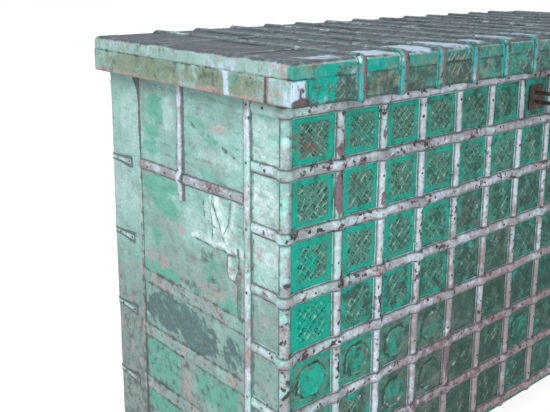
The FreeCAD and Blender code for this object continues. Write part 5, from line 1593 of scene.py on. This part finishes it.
def lidNails():
    draw, spots, drive = nailBag(6)
    out, seat = (0, -1, 0), lidStrap["crown"] - nail["sink"]
    for x in lidStrapXs:
        for y in np.arange(-0.27, 0.31, nail["topPitch"]):
            place = (x + draw.normal(0, 0.001), y + draw.normal(0, 0.015), lidHigh.z + seat)
            drive(place, (0, 0, 1), 0.7, 1.0)
        if abs(x) > 0.01:                         # the middle strap stops above this nail
            drive((x, lidLow.y - seat, nail["strapLevel"] + draw.normal(0, 0.006)), out, 0.7, 1.0)
    for side in sideName:
        for y in np.arange(-0.30, 0.32, nail["foldPitch"]):
            drive((side * (lidLow.x + 0.0002), y, nail["foldLevel"]), (-side, 0, 0), 0.4, 0.6)
        drive((side * (lidLow.x + 0.0195), lidLow.y - skin - 0.0002, nail["plateLevel"]), out, 1.3)
    return spots


nailShape = nailMaster()
nailHeads = nailTree(nailShape)
for name, body, spots in (("chestNails", "chest", chestNails()), ("lidNails", "lid", lidNails())):
    places, ways, girths = zip(*spots)
    values = {"Radius": nail["radius"], "Height": nail["height"], "Finish": nailFinish}
    piece = bake(newObject(name, places, outward=np.array(ways, float), girth=girths), nailHeads, values)
    finishPiece(piece, body, "bare_iron", nailFinish)
bpy.data.objects.remove(nailShape)
bpy.data.objects.remove(strapSection)
print("nails made")

# CAD nodes that stay: timber and hardware
for name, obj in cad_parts.items():
    if obj.hide_render:
        continue
    hardware = name.startswith(("hinge", "hasp", "staple"))
    finish = forgedFinish if hardware else postFinish if name.startswith("post") else timberFinish
    if not obj.material_slots:
        obj.data.materials.append(finish)
    for slotOf in obj.material_slots:
        slotOf.material = finish
print("kept nodes coated")

# Floor, light and camera
stageLook = {
    "floor": 14.0, "floorColour": (0.88, 0.88, 0.87, 1), "glow": 0.62, "floorGlow": 1.4, "white": 1.0,
    "sky": 0.46, "skyColour": (0.97, 0.99, 1.07, 1), "lampColour": (0.99, 1.0, 1.05),
    "lampAim": (-0.5, -0.1, 0.65),
}
lamps = {
    "keyLamp": {"place": (-3.05, -0.62, 3.28), "size": 2.0, "share": 0.62},
    "fillLamp": {"place": (-2.3, -3.16, 1.37), "size": 1.8, "share": 0.46},
}


# Mixes two shaders: the first lights the object, the second is what camera, mirrors and glass see
def seenAs(tree, end, lighting, shown, share):
    path = node(tree, "ShaderNodeLightPath").outputs
    seen = sums(tree, "MAXIMUM", path["Is Camera Ray"], path["Is Glossy Ray"])
    seen = sums(tree, "MAXIMUM", seen, path["Is Transmission Ray"])
    mix = node(tree, "ShaderNodeMixShader", Fac=sums(tree, "MULTIPLY", seen, share))
    tree.links.new(lighting.outputs[0], mix.inputs[1])
    tree.links.new(shown.outputs[0], mix.inputs[2])
    tree.links.new(mix.outputs[0], node(tree, end).inputs[0])


def paleFloor():
    material = bpy.data.materials.new("paleFloor")
    material.use_nodes = True
    tree = material.node_tree
    tree.nodes.clear()
    matte = node(tree, "ShaderNodeBsdfDiffuse", Color=stageLook["floorColour"])
    glow = node(tree, "ShaderNodeEmission", Strength=stageLook["floorGlow"])
    seenAs(tree, "ShaderNodeOutputMaterial", matte, glow, stageLook["glow"])
    far = stageLook["floor"]
    corners = [(-far, -far, 0), (far, -far, 0), (far, far, 0), (-far, far, 0)]
    floor = newPiece("floor", corners, [(0, 1, 2, 3)], False)
    floor.data.materials.append(material)


def softRoom():
    world = bpy.data.worlds.new("softRoom")
    bpy.context.scene.world = world
    world.use_nodes = True
    tree = world.node_tree
    tree.nodes.clear()
    light = node(tree, "ShaderNodeBackground", Strength=stageLook["sky"], Color=stageLook["skyColour"])
    white = node(tree, "ShaderNodeBackground", Strength=stageLook["white"], Color=(1, 1, 1, 1))
    seenAs(tree, "ShaderNodeOutputWorld", light, white, 1.0)


def lamp(name, place, size, share):
    data = bpy.data.lights.new(name, "AREA")
    data.shape = "DISK"
    data.size = size
    way = Vector(stageLook["lampAim"]) - Vector(place)
    data.energy = share * math.pi**2 * way.length_squared
    data.color = stageLook["lampColour"]
    obj = bpy.data.objects.new(name, data)
    obj.location = place
    obj.rotation_euler = way.to_track_quat("-Z", "Y").to_euler()
    bpy.context.scene.collection.objects.link(obj)


photoCamera = {
    "place": (-1.7004, -1.2806, 1.1722), "yaw": 40.96, "pitch": 12.45, "roll": 0.2,
    "lens": 51.63, "shift": (0.0, -0.12),
}


def makeCamera():
    yaw, pitch, roll = (math.radians(photoCamera[k]) for k in ("yaw", "pitch", "roll"))
    ahead = Vector((math.sin(yaw) * math.cos(pitch), math.cos(yaw) * math.cos(pitch), -math.sin(pitch)))
    right = Vector((math.cos(yaw), -math.sin(yaw), 0))
    up = right.cross(ahead)
    c, s = math.cos(roll), math.sin(roll)
    across, upward = right * c + up * s, up * c - right * s
    data = bpy.data.cameras.new("photoCamera")
    data.sensor_fit = "HORIZONTAL"
    data.sensor_width = 36
    data.lens = photoCamera["lens"]
    data.shift_x, data.shift_y = photoCamera["shift"]
    camera = bpy.data.objects.new("photoCamera", data)
    turn = Matrix((across, upward, -ahead)).transposed()
    camera.matrix_world = Matrix.Translation(photoCamera["place"]) @ turn.to_4x4()
    bpy.context.scene.collection.objects.link(camera)
    bpy.context.scene.camera = camera


paleFloor()
softRoom()
for name, look in lamps.items():
    lamp(name, **look)
makeCamera()
bpy.context.scene.view_settings.view_transform = "Standard"
print("stage set")

bpy.context.view_layer.update()
